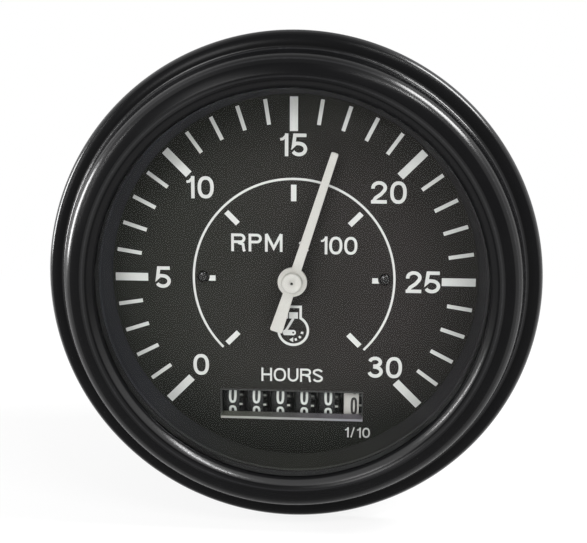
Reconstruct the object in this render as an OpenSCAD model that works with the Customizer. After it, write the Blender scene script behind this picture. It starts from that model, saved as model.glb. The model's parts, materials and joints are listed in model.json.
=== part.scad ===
// Round panel tachometer with a six wheel hour counter, held in its panel by a clamp bracket.
// Each piece is drawn face on, with x to the right, y up and z towards the reader. z = 0 is where the panel
// meets the bezel. upright() then stands it up, so that the dial faces -Y and the case runs back along +Y.

/* [Case] */
// Diameter of the barrel that passes through the panel
case_d = 84.4; // [82:0.1:104]
// Depth of the case behind the panel
case_depth = 60; // [50:0.5:90]
// Wall of the barrel
case_wall = 1.6; // [1.2:0.1:2.2]
// Thickness of the case back
back_wall = 2; // [1.5:0.1:3]
// Rounding of the rear edge
back_round = 3; // [1:0.5:5]

/* [Bezel] */
// Width of the flange outside the barrel
flange_w = 6.8; // [6:0.1:9]
// Width of the flat face of the flange
flange_face = 3.6; // [3:0.1:4]
// Height of the step above the flange
step_h = 5.1; // [4:0.1:6.5]
// Width of the raised band
band_w = 3.4; // [2.5:0.1:4]
// Rise of the band from its shoulder to its crest
band_rise = 1.3; // [0.5:0.1:2]
// Width of the slope between the crest and the glass
slope_w = 2.5; // [2:0.1:3]
// Thickness of the bezel skin
bezel_skin = 0.8; // [0.6:0.05:1]
// Thickness of the case lip inside the bezel
lip_t = 1.2; // [0.8:0.1:1.6]

/* [Glass and dial] */
// Thickness of the glass
glass_t = 2.5; // [2:0.1:3]
// Depth of the dial face behind the panel plane
dial_z = 2.5; // [1:0.1:5]
// Thickness of the dial plate
dial_t = 0.9; // [0.6:0.1:1.5]
// Inward taper of the dial surround from the glass to the dial
surround_taper = 1.2; // [0.5:0.1:2]
// Thickness of the printed marks
print_t = 0.06; // [0.04:0.01:0.12]
// Distance of the dial screws from the centre
dial_screw_x = 18.4; // [16:0.1:22]
// Radius of a dial screw head
dial_screw_head_r = 1.2; // [1:0.05:1.8]

/* [Pointer] */
// Reading that the pointer rests at, in hundreds of revolutions per minute
reading = 16.98; // [0:0.01:30]
// Length of the pointer from its axis to its tip
pointer_tip = 27; // [20:0.5:29]
// Length of the tail from the axis
pointer_tail = 10.7; // [6:0.1:14]
// Height of the upper face of the blade above the dial
pointer_lift = 3.2; // [2:0.1:4]
// Thickness of the blade
pointer_t = 0.8; // [0.4:0.1:1]
// Radius of the spindle
spindle_r = 0.6; // [0.5:0.01:0.75]

/* [Hour counter] */
// Radius of a number wheel
wheel_r = 6.6; // [5.5:0.1:8]
// Distance from one number wheel to the next
wheel_pitch = 5; // [4.8:0.1:6]
// Width of the numbered band of a wheel
drum_w = 3.1; // [2.9:0.1:3.3]
// Height of the counter axle below the dial centre
counter_drop = 26.8; // [25:0.1:27]
// Part of a digit by which the five dark wheels rest short of zero
wheel_lag = 0.4; // [0:0.05:1]
// Radius of the counter axle
axle_r = 0.8; // [0.6:0.05:1]
// Radius of the pinion shaft
shaft_r = 0.6; // [0.5:0.05:0.8]

/* [Rear fittings] */
// Distance of the mounting studs from the centre
stud_x = 25; // [22:0.5:30]
// Radius of a mounting stud
stud_r = 2.5; // [2:0.1:3]
// Length of a mounting stud behind the case
stud_out = 28; // [20:1:36]
// Distance between terminals
terminal_pitch = 10; // [10:0.5:12]
// Drop of the terminal row below the centre
terminal_drop = 22; // [20:0.5:26]
// Radius of the free end of a terminal
terminal_r = 2; // [1.5:0.1:2.2]
// Length of a terminal behind the case
terminal_out = 16; // [12:1:20]
// Radius of the lamp holder
lamp_r = 5.5; // [5:0.1:6]
// Height of the lamp above the centre
lamp_y = 24; // [23:0.5:28]
// Thickness of the panel that the clamp is set for
panel_t = 3; // [1:0.5:6]
// Width of the clamp bracket
clamp_w = 14; // [10:1:16]
// Thickness of the clamp strip
clamp_t = 1.6; // [1.2:0.1:2]

/* [Hidden] */
$fn = 96;

// Clearances
run_gap = 0.03;    // a shaft that turns in its bore
seat_gap = 0.05;   // a fixed piece in its seat
slip_gap = 0.25;   // a piece that slides over a stud
free_gap = 0.3;    // pieces that pass each other

// Case and bezel, from the outside in
case_r = case_d / 2;
case_in = case_r - case_wall;
back_z = -case_depth;
floor_z = back_z + back_wall;
hem_t = bezel_skin;
bezel_r = case_r + flange_w;
lip_r = bezel_r - bezel_skin - 0.3;
lip_z = hem_t;
flange_z = hem_t + lip_t + seat_gap + bezel_skin;
foot_r = bezel_r - flange_face;
shoulder_r = foot_r - 1.4;
crest_r = shoulder_r - band_w;
sight_r = crest_r - slope_w;
shoulder_z = flange_z + step_h;
crest_z = shoulder_z + band_rise;
hem_in = foot_r - 0.9;

// Glass, its gasket and the dial
glass_r = case_in - 0.6;
gasket_t = 1.5;
neck_in = glass_r + seat_gap + gasket_t + seat_gap;
neck_r = neck_in + case_wall - 0.2;
spigot_r = neck_in - seat_gap;
glass_top = shoulder_z - 1.1;
glass_z = glass_top - glass_t;
gasket_foot = 0.7;
shelf_z = glass_z - gasket_foot;
neck_z = glass_top - 0.5;
face_z = -dial_z;
dial_back = face_z - dial_t;
dial_r = case_in - free_gap;
surround_in = sight_r - surround_taper;

// Printed scale, measured inward from the dial surround
scale_start = 225;
scale_sweep = 270;
scale_max = 30;
major_out = surround_in - 0.5;
major_len = 6.7;
minor_len = 5;
minor_out = surround_in - 0.6;
numeral_r = surround_in - 10.7;
inner_tick_r = surround_in - 19.4;
arc_r = surround_in - 16.6;
arc_w = 0.45;
// How far each numeral stands from its place on the ring, by eye
numeral_shift = [[-0.5, 0.3], [-0.4, 0], [-0.4, -0.1], [-0.2, 0.8], [0.3, -0.7], [-0.2, -0.1], [0.2, 0.6]];
function scale_angle(n) = scale_start - scale_sweep * n / scale_max;

// Counter, behind the window in the dial
wheel_count = 6;
digits = 10;
ring_teeth = 20;
pinion_teeth = 8;
ring_pitch_r = wheel_r - 0.6;
ring_module = 2 * ring_pitch_r / ring_teeth;
pinion_pitch_r = ring_module * pinion_teeth / 2;
counter_y = -counter_drop;
counter_z = dial_back - 1 - wheel_r;
shaft_z = counter_z - ring_pitch_r - pinion_pitch_r;
drum_left = 2.05;
ring_w = 0.9;
wheel_gap = 0.5;
disc_w = wheel_pitch - drum_w - ring_w - wheel_gap;
pinion_left = 0.15;
pinion_right = 0.1;
pinion_w = wheel_pitch - drum_w - pinion_left - pinion_right;
gear_teeth = 40;
motor_teeth = 10;
gear_pitch_r = ring_pitch_r + pinion_pitch_r - axle_r - 0.6;
gear_module = 2 * gear_pitch_r / gear_teeth;
motor_pitch_r = gear_module * motor_teeth / 2;
motor_lean = 20;
motor_y = counter_y + (gear_pitch_r + motor_pitch_r) * cos(motor_lean);
motor_z = shaft_z - (gear_pitch_r + motor_pitch_r) * sin(motor_lean);
motor_r = 5.2;
motor_len = 8;
gear_w = 0.8;
frame_t = 1;
function wheel_x(k) = wheel_pitch * ((wheel_count - 1) / 2 - k);
gear_x = wheel_x(0) - drum_left + drum_w + ring_w + 0.75;
frame_right = gear_x + gear_w + 1;
frame_left = wheel_x(wheel_count - 1) - drum_left - disc_w - free_gap - frame_t;
frame_low = counter_y - max(wheel_r, gear_pitch_r + gear_module) - free_gap - frame_t;

// Window in the dial
window_x = -0.35;
window_w = wheel_count * wheel_pitch - 0.6;
window_top = counter_y + 3.5;
window_low = counter_y - 1.85;
window_side = 0.2;
sill_w = 1;
sill_edge = 0.5;
sill_front = window_low - sill_w + sill_edge;

// Movement, chassis and circuit board, one behind the other
bobbin = 8.5;
wire_t = 1.3;
can_wall = 0.8;
can_r = 13.5;
can_z = dial_back - 3;
coil_z = can_z - 0.5;
bobbin_z = coil_z - 2 * wire_t;
bobbin_h = 11;
bobbin_cap = 2.5;
rotor_r = 6;
rotor_h = 5;
bush_r = 1.5;
coil_back = bobbin_z - bobbin_h - 2 * wire_t;
can_back = coil_back - free_gap - can_wall;
chassis_z = min(can_back - 5, motor_z - motor_r - 1.4);
chassis_t = 1.2;
chassis_r = case_in - 2.2;
boss_ring = chassis_r - 3.9;
boss_r = 3.2;
boss_angles = [90, 210, 330];
board_gap = 4;
board_t = 1.6;
board_z = chassis_z - chassis_t - board_gap;
board_back = board_z - board_t;
board_half = [24, 17];
board_y = -1;
post_at = [[-21, 12], [21, 12], [-21, -14], [21, -14]];
trimmer_at = [-14, 11];
trimmer_h = 5;
trimmer_hole_r = 2.5;
dial_post_y = 0.3;

// Rear fittings
stud_head = 1.8;
terminal_neck = terminal_r + 0.4;
terminal_x = [for (i = [-1.5:1:1.5]) i * terminal_pitch];
terminal_y = -terminal_drop;
washer_t = 0.8;
nut_t = 2.8;
strap_t = 0.5;
lamp_flange = 3;
lamp_in = 8;
bulb_h = 12;
bulb_r = 4.4;
clamp_x = case_r + 1.6;
clamp_gap = 4.4;
lock_nut_t = 2;
clamp_z = back_z - clamp_gap;
clamp_foot = 2.2;

module upright()
    rotate([90, 0, 0])
        children();

// Turns a piece drawn on the z axis so that it lies along x, at a height and depth of the counter
module across(x, y, z)
    translate([x, y, z])
        rotate([0, 90, 0])
            children();

// A cylinder along z from one level to another
module rod(r, low, high)
    translate([0, 0, low])
        cylinder(h = high - low, r = r);

module tube(r_out, r_in, low, high)
    difference() {
        rod(r_out, low, high);
        rod(r_in, low - 1, high + 1);
    }

module box(low, high)
    translate(low)
        cube(high - low);

module mirrored_x()
    for (side = [-1, 1])
        scale([side, 1, 1])
            children();

// A hexagonal nut or head, af across its flats
module hex(af, low, high)
    translate([0, 0, low])
        cylinder(h = high - low, r = af / 2 / cos(30), $fn = 6);

// Points on part of an ellipse
function arc_points(centre, rx, ry, from, to, steps) =
    [for (i = [0:steps])
        let (a = from + (to - from) * i / steps)
        [centre[0] + rx * cos(a), centre[1] + ry * sin(a)]];

// Involute gear teeth

pressure = 25;
function involute(base, r) = let (c = base / r) sqrt(1 / (c * c) - 1) * 180 / PI - acos(c);
// Half the angle that a tooth takes up at radius r, thinned by the play between gears
function half_tooth(m, teeth, r, play) =
    let (pitch_r = m * teeth / 2, base = pitch_r * cos(pressure))
    90 / teeth - play / pitch_r * 90 / PI + involute(base, pitch_r) - involute(base, max(r, base));
function tooth_points(m, teeth, a, play) =
    let (pitch_r = m * teeth / 2, root = pitch_r - 1.15 * m, tip = pitch_r + 0.8 * m)
    let (foot = max(pitch_r * cos(pressure), root))
    let (levels = [root, foot, (foot + pitch_r) / 2, (pitch_r + tip) / 2, tip])
    let (flank = [for (r = levels) [r, half_tooth(m, teeth, r, play)]])
    concat([for (f = flank) f[0] * [cos(a - f[1]), sin(a - f[1])]],
        [for (f = reversed(flank)) f[0] * [cos(a + f[1]), sin(a + f[1])]]);
function gear_points(m, teeth, turn, play) =
    [for (i = [0:teeth - 1]) each tooth_points(m, teeth, turn + i * 360 / teeth, play)];

module gear(m, teeth, width, bore, turn = 0)
    difference() {
        linear_extrude(width)
            polygon(gear_points(m, teeth, turn, 0.14 * m));
        rod(bore, -1, width + 1);
    }

// Lettering, as pen strokes of one width along a path

function unit(v) = v / norm(v);
function normal(a, b) = let (d = unit(b - a)) [-d[1], d[0]];
function at(path, i) = path[(i + len(path)) % len(path)];
// The offset at a corner of the path that keeps the stroke as wide as on its straights
function mitre(n1, n2) = (n1 + n2) / (1 + n1 * n2);
function side(path, w, closed) =
    [for (i = [0:len(path) - 1])
        let (before = i > 0 || closed ? normal(at(path, i - 1), path[i]) : normal(path[0], path[1]))
        let (after = i < len(path) - 1 || closed ? normal(path[i], at(path, i + 1)) : before)
        path[i] + mitre(before, after) * w];
function reversed(list) = [for (i = [len(list) - 1:-1:0]) list[i]];

module stroke(path, w)
    polygon(concat(side(path, w / 2, false), reversed(side(path, -w / 2, false))));

module loop(path, w)
    difference() {
        polygon(side(path, -w / 2, true));
        polygon(side(path, w / 2, true));
    }

// A glyph is one unit high, with its left edge at 0. pen is its stroke, also in units.
function squarish(v) = sign(v) * pow(abs(v), 0.86);
function oval(pen, w) =
    [for (i = [0:27])
        let (a = i * 360 / 28)
        [w / 2 + (w - pen) / 2 * squarish(cos(a)), 0.5 + (1 - pen) / 2 * squarish(sin(a))]];
function glyph_w(c) =
    c == "M" ? 0.98
    : c == "O" ? 0.9
    : c == "R" ? 0.8
    : c == "H" || c == "U" ? 0.78
    : c == "P" || c == "S" ? 0.74
    : c == "0" ? 0.73
    : c == "x" ? 0.6
    : c == "1" || c == "/" ? 0.44
    : 0.7;
function text_w(word, gap, i = 0) =
    i >= len(word) ? -gap : glyph_w(word[i]) + gap + text_w(word, gap, i + 1);

module glyph(c, pen) {
    w = glyph_w(c);
    e = pen / 2;
    r = w - e;
    top = 1 - e;
    if (c == "0" || c == "O")
        loop(oval(pen, w), pen);
    if (c == "1") {
        translate([r - e, 0])
            square([pen, 1]);
        stroke([[e, 0.74], [0.2, 0.76], [r, 0.93]], pen * 0.75);
    }
    if (c == "2") {
        stroke(concat(arc_points([w / 2, 0.7], w / 2 - e, 0.3 - e, 190, -30, 12),
            [[0.44, 0.42], [0.2, 0.25], [e + 0.01, 0.06]]), pen);
        square([w, pen]);
    }
    if (c == "3") {
        upper = arc_points([w / 2 - 0.01, 0.74], w / 2 - e - 0.03, 0.26 - e, 170, -70, 11);
        lower = arc_points([w / 2, 0.29], w / 2 - e, 0.29 - e, 72, -170, 12);
        stroke(concat(upper, [[0.26, 0.54]]), pen);
        stroke(concat([[0.26, 0.52]], lower), pen);
    }
    if (c == "5")
        stroke(concat([[w - 0.04, top], [0.15, top], [0.09, 0.47], [0.2, 0.57]],
            arc_points([w / 2 - 0.02, 0.32], w / 2 - e + 0.02, 0.32 - e, 88, -152, 13)), pen);
    if (c == "H") {
        square([pen, 1]);
        translate([w - pen, 0])
            square([pen, 1]);
        translate([0, 0.5 - e])
            square([w, pen]);
    }
    if (c == "U")
        stroke(concat([[e, 1]], arc_points([w / 2, w / 2], w / 2 - e, w / 2 - e, 180, 360, 12),
            [[r, 1]]), pen);
    if (c == "P" || c == "R") {
        square([pen, 1]);
        stroke(concat([[e, top]], arc_points([w - 0.28, 0.73], 0.28 - e, 0.27 - e, 90, -90, 10),
            [[e, 0.46 + e]]), pen);
    }
    if (c == "R")
        stroke([[w / 2, 0.49], [r - 0.06, 0.4], [r - 0.02, 0.1], [r + 0.02, 0]], pen);
    if (c == "M") {
        square([pen, 1]);
        translate([w - pen, 0])
            square([pen, 1]);
        stroke([[e, 1], [w / 2, 1.4 * pen], [r, 1]], pen);
    }
    if (c == "S")
        stroke(concat(arc_points([w / 2, 0.74], w / 2 - e, 0.26 - e, 15, 250, 10),
            arc_points([w / 2, 0.27], w / 2 - e, 0.27 - e, 70, -165, 10)), pen);
    if (c == "/")
        stroke([[e, 0], [r, 1]], pen * 0.8);
    if (c == "x") {
        stroke([[e, 0.1], [r, 0.1 + w - pen]], pen);
        stroke([[r, 0.1], [e, 0.1 + w - pen]], pen);
    }
}

// A word centred on a point, high units tall
module word(letters, centre, high, pen = 0.16, gap = 0.14)
    translate(centre)
        scale([high, high])
            translate([-text_w(letters, gap) / 2, -0.5])
                for (i = [0:len(letters) - 1])
                    translate([text_w([for (j = [0:i]) letters[j]], gap) - glyph_w(letters[i]), 0])
                        glyph(letters[i], pen);

// The crank and piston sign that stands for engine speed, drawn about the crank circle
module engine_sign() {
    circle_r = 3;
    line = 0.5;
    difference() {
        circle(r = circle_r + line / 2);
        circle(r = circle_r - line / 2);
        translate([-1.05, circle_r - 0.75])
            square([2.3, 1.2]);
    }
    low = circle_r - 0.45;
    high = circle_r + 1.95;
    stroke([[-1.3, low], [-1.3, high], [1.5, high], [1.5, low]], line);
    translate([-0.85, circle_r - 0.5])
        square([1.8, 1.3]);
    stroke([[0, circle_r - 0.5], [-1.7, -0.4]], line);
    difference() {
        union() {
            polygon([[-2.1, -0.75], [-1.85, -1], [0, -1], [0, 0.1], [-1.85, 0.1], [-2.1, -0.15]]);
            translate([0, -0.45])
                circle(r = 0.56, $fn = 32);
        }
        translate([0, -0.45])
            circle(r = 0.2, $fn = 24);
    }
    for (a = [-4, -36, -66])
        stroke(arc_points([0, -0.1], 1.85, 1.85, a, a - 14, 3), line);
    polygon([[-0.8, -1.95], [0, -1.45], [0, -2.45]]);
}

// Pieces that do not move

module barrel_profile() {
    rounded = arc_points([case_r - back_round, back_z + back_round], back_round, back_round, -90, 0, 8);
    polygon(concat([[0, back_z]], rounded,
        [[case_r, lip_z], [spigot_r, lip_z], [spigot_r, shelf_z], [case_in, shelf_z], [case_in, floor_z],
            [0, floor_z]]));
}

module case_shell()
    upright()
        color("#1d1e20")
            difference() {
                union() {
                    rotate_extrude()
                        barrel_profile();
                    for (a = boss_angles)
                        rotate(a)
                            translate([boss_ring, 0, 0]) {
                                rod(boss_r, floor_z, chassis_z - chassis_t);
                                box([0, -0.8, floor_z],
                                    [case_in - boss_ring + 0.5, 0.8, chassis_z - 3 * chassis_t]);
                            }
                }
                for (a = boss_angles)
                    rotate(a)
                        translate([boss_ring, 0, 0])
                            rod(1.45, chassis_z - 9, chassis_z);
                mirrored_x()
                    translate([stud_x, 0, 0])
                        rod(stud_r + seat_gap, back_z - 1, floor_z + 1);
                for (x = terminal_x)
                    translate([x, terminal_y, 0])
                        rod(terminal_neck + seat_gap, back_z - 1, floor_z + 1);
                translate([0, lamp_y, 0])
                    rod(lamp_r + slip_gap / 2, back_z - 1, floor_z + 1);
                translate(trimmer_at)
                    rod(trimmer_hole_r, back_z - 1, floor_z + 1);
            }

// Ring on the front end of the barrel, whose lip the bezel grips
module case_collar()
    upright()
        color("#1d1e20")
            rotate_extrude()
                polygon([[neck_in, lip_z], [lip_r, lip_z], [lip_r, lip_z + lip_t], [neck_r, lip_z + lip_t],
                    [neck_r, neck_z], [neck_in, neck_z]]);

module bezel_ring() {
    hem_round = 1.2;
    tip_t = 0.6;
    upright()
        color("#17181a")
            rotate_extrude()
                polygon(concat(
                    [[sight_r, glass_top + seat_gap], [sight_r, glass_top + seat_gap + tip_t]],
                    arc_points([crest_r, crest_z - 0.5], 0.5, 0.5, 125, 80, 4),
                    arc_points([shoulder_r - 0.9, shoulder_z - 0.6], 0.9, 0.9, 70, 0, 6),
                    arc_points([foot_r, flange_z + 0.7], 0.7, 0.7, 192, 270, 5),
                    arc_points([bezel_r - hem_round, flange_z - hem_round], hem_round, hem_round, 90, 0, 8),
                    arc_points([bezel_r - 0.5, 0.5], 0.5, 0.5, 0, -90, 4),
                    [[hem_in, 0], [hem_in, hem_t], [lip_r + 0.2, hem_t],
                        [lip_r + 0.2, flange_z - bezel_skin], [foot_r - bezel_skin, flange_z - bezel_skin],
                        [shoulder_r - bezel_skin + 0.1, glass_top + seat_gap]]));
}

module front_glass()
    upright()
        color("#cfe3ea", 0.3)
            rod(glass_r, glass_z, glass_top);

module glass_gasket()
    upright()
        color("#202020")
            rotate_extrude()
                polygon([[sight_r + 0.2, shelf_z], [neck_in - seat_gap, shelf_z],
                    [neck_in - seat_gap, glass_top], [glass_r + seat_gap, glass_top],
                    [glass_r + seat_gap, glass_z], [sight_r + 0.2, glass_z]]);

module dial_surround()
    upright()
        color("#2a2a2b")
            rotate_extrude()
                polygon([[surround_in, face_z], [case_in - 0.1, face_z], [case_in - 0.1, shelf_z],
                    [sight_r - 0.2, shelf_z], [surround_in + 0.2, face_z + 0.7]]);

module window_shape(grow)
    translate([window_x - window_w / 2 - grow, window_low - sill_w - grow])
        square([window_w + 2 * grow, window_top - window_low + sill_w + 2 * grow]);

module dial_plate()
    upright()
        color("#3a3836")
            difference() {
                rod(dial_r, dial_back, face_z);
                rod(2.2, dial_back - 1, face_z + 1);
                translate([0, 0, dial_back - 1])
                    linear_extrude(dial_t + 2)
                        window_shape(seat_gap);
                mirrored_x()
                    translate([dial_screw_x, dial_post_y, 0])
                        rod(0.8, dial_back - 1, face_z + 1);
            }

// A radial bar of the scale from one radius to another
module tick(angle, low, high, w)
    rotate(angle)
        translate([low, -w / 2])
            square([high - low, w]);

// The thin ring inside the numerals, open at the bottom
module scale_arc()
    difference() {
        circle(r = arc_r + arc_w / 2);
        circle(r = arc_r - arc_w / 2);
        polygon([[0, 0],
            for (a = [scale_start, scale_start + 360 - scale_sweep]) 2 * arc_r * [cos(a), sin(a)]]);
    }

module dial_print()
    upright()
        color("#dcdcd6")
            translate([0, 0, face_z])
                linear_extrude(print_t) {
                    for (n = [0:scale_max])
                        if (n % 5 == 0)
                            tick(scale_angle(n), major_out - major_len, major_out, 1.6);
                        else
                            tick(scale_angle(n), minor_out - minor_len, minor_out, 0.76);
                    difference() {
                        for (n = [0:5:scale_max])
                            tick(scale_angle(n), inner_tick_r - 1.65, inner_tick_r + 1.65, 1.08);
                        mirrored_x()
                            translate([dial_screw_x, dial_post_y])
                                circle(r = dial_screw_head_r + 0.2);
                    }
                    scale_arc();
                    for (i = [0:len(numeral_shift) - 1])
                        let (n = 5 * i, a = scale_angle(n))
                            word(str(n), numeral_r * [cos(a), sin(a)] + numeral_shift[i], 4.45, 0.155, 0.14);
                    word("RPM", [-7.4, 7.4], 3.6, 0.15, 0.18);
                    word("x", [2.05, 7.35], 3.7, 0.13, 0);
                    word("100", [9, 7.05], 3.6, 0.15, 0.1);
                    word("HOURS", [-0.2, window_top + 3.3], 2.8, 0.14, 0.13);
                    word("1/10", [wheel_x(0) + 0.8, window_low - sill_w - 2.35], 2.15, 0.15, 0.14);
                    translate([0, -10.6])
                        engine_sign();
                }

// Frame behind the dial window, with a sloping sill below the wheels
module window_frame()
    upright()
        color("#4a4a4a")
            difference() {
                union() {
                    box([window_x - window_w / 2 - 1.5, window_low - sill_w - 1.5, dial_back - 0.9],
                        [window_x + window_w / 2 + 1.5, window_top + 1.5, dial_back]);
                    translate([0, 0, dial_back - 0.5])
                        linear_extrude(dial_t + 0.5)
                            window_shape(0);
                }
                box([window_x - window_w / 2 + window_side, window_low, dial_back - 2],
                    [window_x + window_w / 2 - window_side, window_top - 0.3, face_z + 1]);
                translate([window_x - window_w / 2 + window_side, 0, 0])
                    rotate([90, 0, 90])
                        linear_extrude(window_w - 2 * window_side)
                            polygon([[window_low + 0.1, dial_back - 0.9], [window_low + 0.1, face_z + 1],
                                [sill_front, face_z + 1], [sill_front, face_z - 0.1],
                                [window_low, dial_back - 0.7], [window_low, dial_back - 0.9]]);
            }

module dial_screws()
    upright()
        color("#161616")
            mirrored_x()
                translate([dial_screw_x, dial_post_y, 0])
                    difference() {
                        union() {
                            rod(dial_screw_head_r, face_z, face_z + 0.8);
                            rod(0.7, dial_back - 5, face_z + 0.1);
                        }
                        box([-dial_screw_head_r, -0.15, face_z + 0.45],
                            [dial_screw_head_r, 0.15, face_z + 1]);
                    }

module dial_posts()
    upright()
        color("#b9b9b4")
            mirrored_x()
                translate([dial_screw_x, dial_post_y, 0])
                    difference() {
                        hex(5, chassis_z, dial_back);
                        rod(0.7 + seat_gap, dial_back - 6, dial_back + 1);
                    }

module chassis_plate()
    upright()
        color("#a8aaab")
            difference() {
                rod(chassis_r, chassis_z - chassis_t, chassis_z);
                for (a = boss_angles)
                    rotate(a)
                        translate([boss_ring, 0, 0])
                            rod(1.6, chassis_z - 5, chassis_z + 1);
                translate([0, lamp_y, 0])
                    rod(lamp_r, chassis_z - 5, chassis_z + 1);
                mirrored_x()
                    translate([-14, lamp_y, 0])
                        rod(3, chassis_z - 5, chassis_z + 1);
            }

module chassis_screws()
    upright()
        color("#c6c6c2")
            for (a = boss_angles)
                rotate(a)
                    translate([boss_ring, 0, 0])
                        difference() {
                            union() {
                                rod(2.6, chassis_z, chassis_z + 1.3);
                                rod(1.4, chassis_z - 8, chassis_z + 0.1);
                            }
                            box([-3, -0.3, chassis_z + 0.7], [3, 0.3, chassis_z + 2]);
                        }

module movement_stand()
    upright()
        color("#e4e2da")
            difference() {
                union() {
                    rod(10, chassis_z, can_back);
                    rod(12, chassis_z, chassis_z + 1.2);
                }
                rod(7.5, chassis_z - 1, can_back + 1);
                for (a = [0:90:270])
                    rotate(a)
                        box([0, -2, chassis_z + 1.2], [13, 2, can_back - 1]);
            }

module shield_can()
    upright()
        color("#9fa1a2")
            difference() {
                rod(can_r, can_back, can_z);
                rod(can_r - can_wall, can_back + can_wall, can_z + 1);
            }

module coil_bobbin()
    upright()
        color("#ece9df")
            difference() {
                union() {
                    box([-bobbin, -bobbin, bobbin_z - bobbin_h], [bobbin, bobbin, bobbin_z]);
                    for (x = [-bobbin, bobbin], y = [-bobbin, bobbin])
                        translate([x * 0.94, y * 0.94, 0])
                            rod(0.6, can_back + can_wall, can_z - 0.2, $fn = 32);
                }
                rod(rotor_r + 0.8, bobbin_z - bobbin_h + bobbin_cap, bobbin_z - bobbin_cap);
                rod(bush_r + seat_gap, bobbin_z - bobbin_h - 1, bobbin_z + 1);
            }

// Two flat loops of wire around the bobbin, one each side of the spindle
module coil(depth, top)
    for (y = [-5.9, 2.1])
        difference() {
            box([-depth - wire_t, y, -top - wire_t], [depth + wire_t, y + 3.8, top + wire_t]);
            box([-depth, y - 1, -top], [depth, y + 4.8, top]);
        }

module coil_inner()
    upright()
        color("#b5682e")
            translate([0, 0, bobbin_z - bobbin_h / 2])
                coil(bobbin, bobbin_h / 2);

module coil_outer()
    upright()
        color("#a65a26")
            translate([0, 0, bobbin_z - bobbin_h / 2])
                rotate(90)
                    coil(bobbin, bobbin_h / 2 + wire_t);

module upper_bearing()
    upright()
        color("#c9a24a")
            tube(bush_r, spindle_r + run_gap, bobbin_z - bobbin_cap + 0.1, coil_z + 0.3);

module lower_bearing()
    upright()
        color("#c9a24a")
            difference() {
                rod(bush_r, bobbin_z - bobbin_h - 0.5, bobbin_z - bobbin_h + bobbin_cap - 0.1);
                rod(spindle_r + run_gap, bobbin_z - bobbin_h + 0.2, bobbin_z);
            }

module frame_plate(x, top)
    difference() {
        box([x, frame_low, chassis_z], [x + frame_t, top, dial_back - 1.4]);
        across(x - 1, counter_y, counter_z)
            rod(axle_r + seat_gap, 0, frame_t + 2);
        across(x - 1, counter_y, shaft_z)
            rod(shaft_r + seat_gap, 0, frame_t + 2);
        across(x - 1, motor_y, motor_z)
            rod(1.2, 0, frame_t + 2);
    }

module counter_frame()
    upright()
        color("#8e9092") {
            frame_plate(frame_left, counter_y + wheel_r - 1);
            frame_plate(frame_right, motor_y + motor_r);
            box([frame_left, frame_low, chassis_z],
                [frame_right + frame_t, frame_low + frame_t, counter_z]);
        }

// The axle of the number wheels and, behind it, the shaft of the pinions
module counter_shafts() {
    long = frame_right - frame_left + frame_t + 1;
    upright()
        color("#c8c8c6") {
            across(frame_left - 0.5, counter_y, counter_z)
                rod(axle_r, 0, long);
            across(frame_left - 0.5, counter_y, shaft_z)
                rod(shaft_r, 0, long);
        }
}

module drive_motor()
    upright()
        color("#7c7e80")
            across(frame_right + frame_t, motor_y, motor_z)
                difference() {
                    rod(motor_r, 0, motor_len);
                    rod(0.45 + run_gap, -1, 4);
                }

module circuit_board()
    upright()
        color("#2f6b3c")
            difference() {
                box([-board_half[0], board_y - board_half[1], board_back],
                    [board_half[0], board_y + board_half[1], board_z]);
                for (p = post_at)
                    translate(p)
                        rod(1.5 + seat_gap, board_back - 1, board_z + 1);
            }

module board_posts()
    upright()
        color("#bcbcb8")
            for (p = post_at)
                translate(p)
                    difference() {
                        rod(2.6, board_z, chassis_z - chassis_t, $fn = 48);
                        rod(1.5 + seat_gap, board_z - 1, chassis_z - chassis_t - 0.8, $fn = 48);
                    }

module board_screws()
    upright()
        color("#c6c6c2")
            for (p = post_at)
                translate(p)
                    difference() {
                        union() {
                            rod(2.5, board_back - 1.2, board_back, $fn = 48);
                            rod(1.5, board_back, board_z + board_gap - 1.2, $fn = 48);
                        }
                        box([-2.6, -0.3, board_back - 2], [2.6, 0.3, board_back - 0.7]);
                    }

// A component body standing on the rear of the board
module on_board(centre, size)
    box([centre[0] - size[0] / 2, centre[1] - size[1] / 2, board_back - size[2]],
        [centre[0] + size[0] / 2, centre[1] + size[1] / 2, board_back]);

module board_chips()
    upright()
        color("#1b1b1c") {
            on_board([4, 2], [19, 6.4, 3.4]);
            on_board([-8, -6], [5, 4, 1.6]);
            on_board([11, 11], [10, 6.4, 3.4]);
        }

module board_capacitors()
    upright()
        color("#27406e")
            for (p = [[14, -6.5], [5.5, -6.5], [-19, -4.5]])
                translate(p)
                    rod(3, board_back - 7, board_back, $fn = 48);

module board_resistors()
    upright()
        color("#c2a878")
            for (i = [0:4])
                translate([-6 + 2.6 * i, 8, board_back - 0.9])
                    rotate([90, 0, 0])
                        rod(0.9, -2.6, 2.6, $fn = 32);

module trimmer_body()
    upright()
        color("#2a55a0")
            translate([trimmer_at[0], trimmer_at[1], 0])
                difference() {
                    box([-4, -4, board_back - trimmer_h], [4, 4, board_back]);
                    rod(2.2, board_back - trimmer_h - 1, board_back - 1.5);
                }

// Tongue under a terminal's head and the leg that carries it to the board
module terminal_straps()
    upright()
        color("#c08a3e")
            for (x = terminal_x)
                translate([x, terminal_y, 0])
                    difference() {
                        union() {
                            box([-2, 0, floor_z], [2, terminal_drop - 16, floor_z + strap_t]);
                            rod(3.4, floor_z, floor_z + strap_t);
                            box([-1.5, terminal_drop - 16 - strap_t, floor_z],
                                [1.5, terminal_drop - 16, board_back]);
                        }
                        rod(terminal_neck + seat_gap, floor_z - 1, floor_z + 2);
                    }

module terminal_studs()
    upright()
        color("#cfa64c")
            for (x = terminal_x)
                translate([x, terminal_y, 0]) {
                    hex(6.4, floor_z + strap_t, floor_z + strap_t + stud_head);
                    rod(terminal_neck, back_z - washer_t - nut_t - 0.6, floor_z + strap_t);
                    rod(terminal_r, back_z - terminal_out, back_z - washer_t - nut_t);
                }

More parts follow.
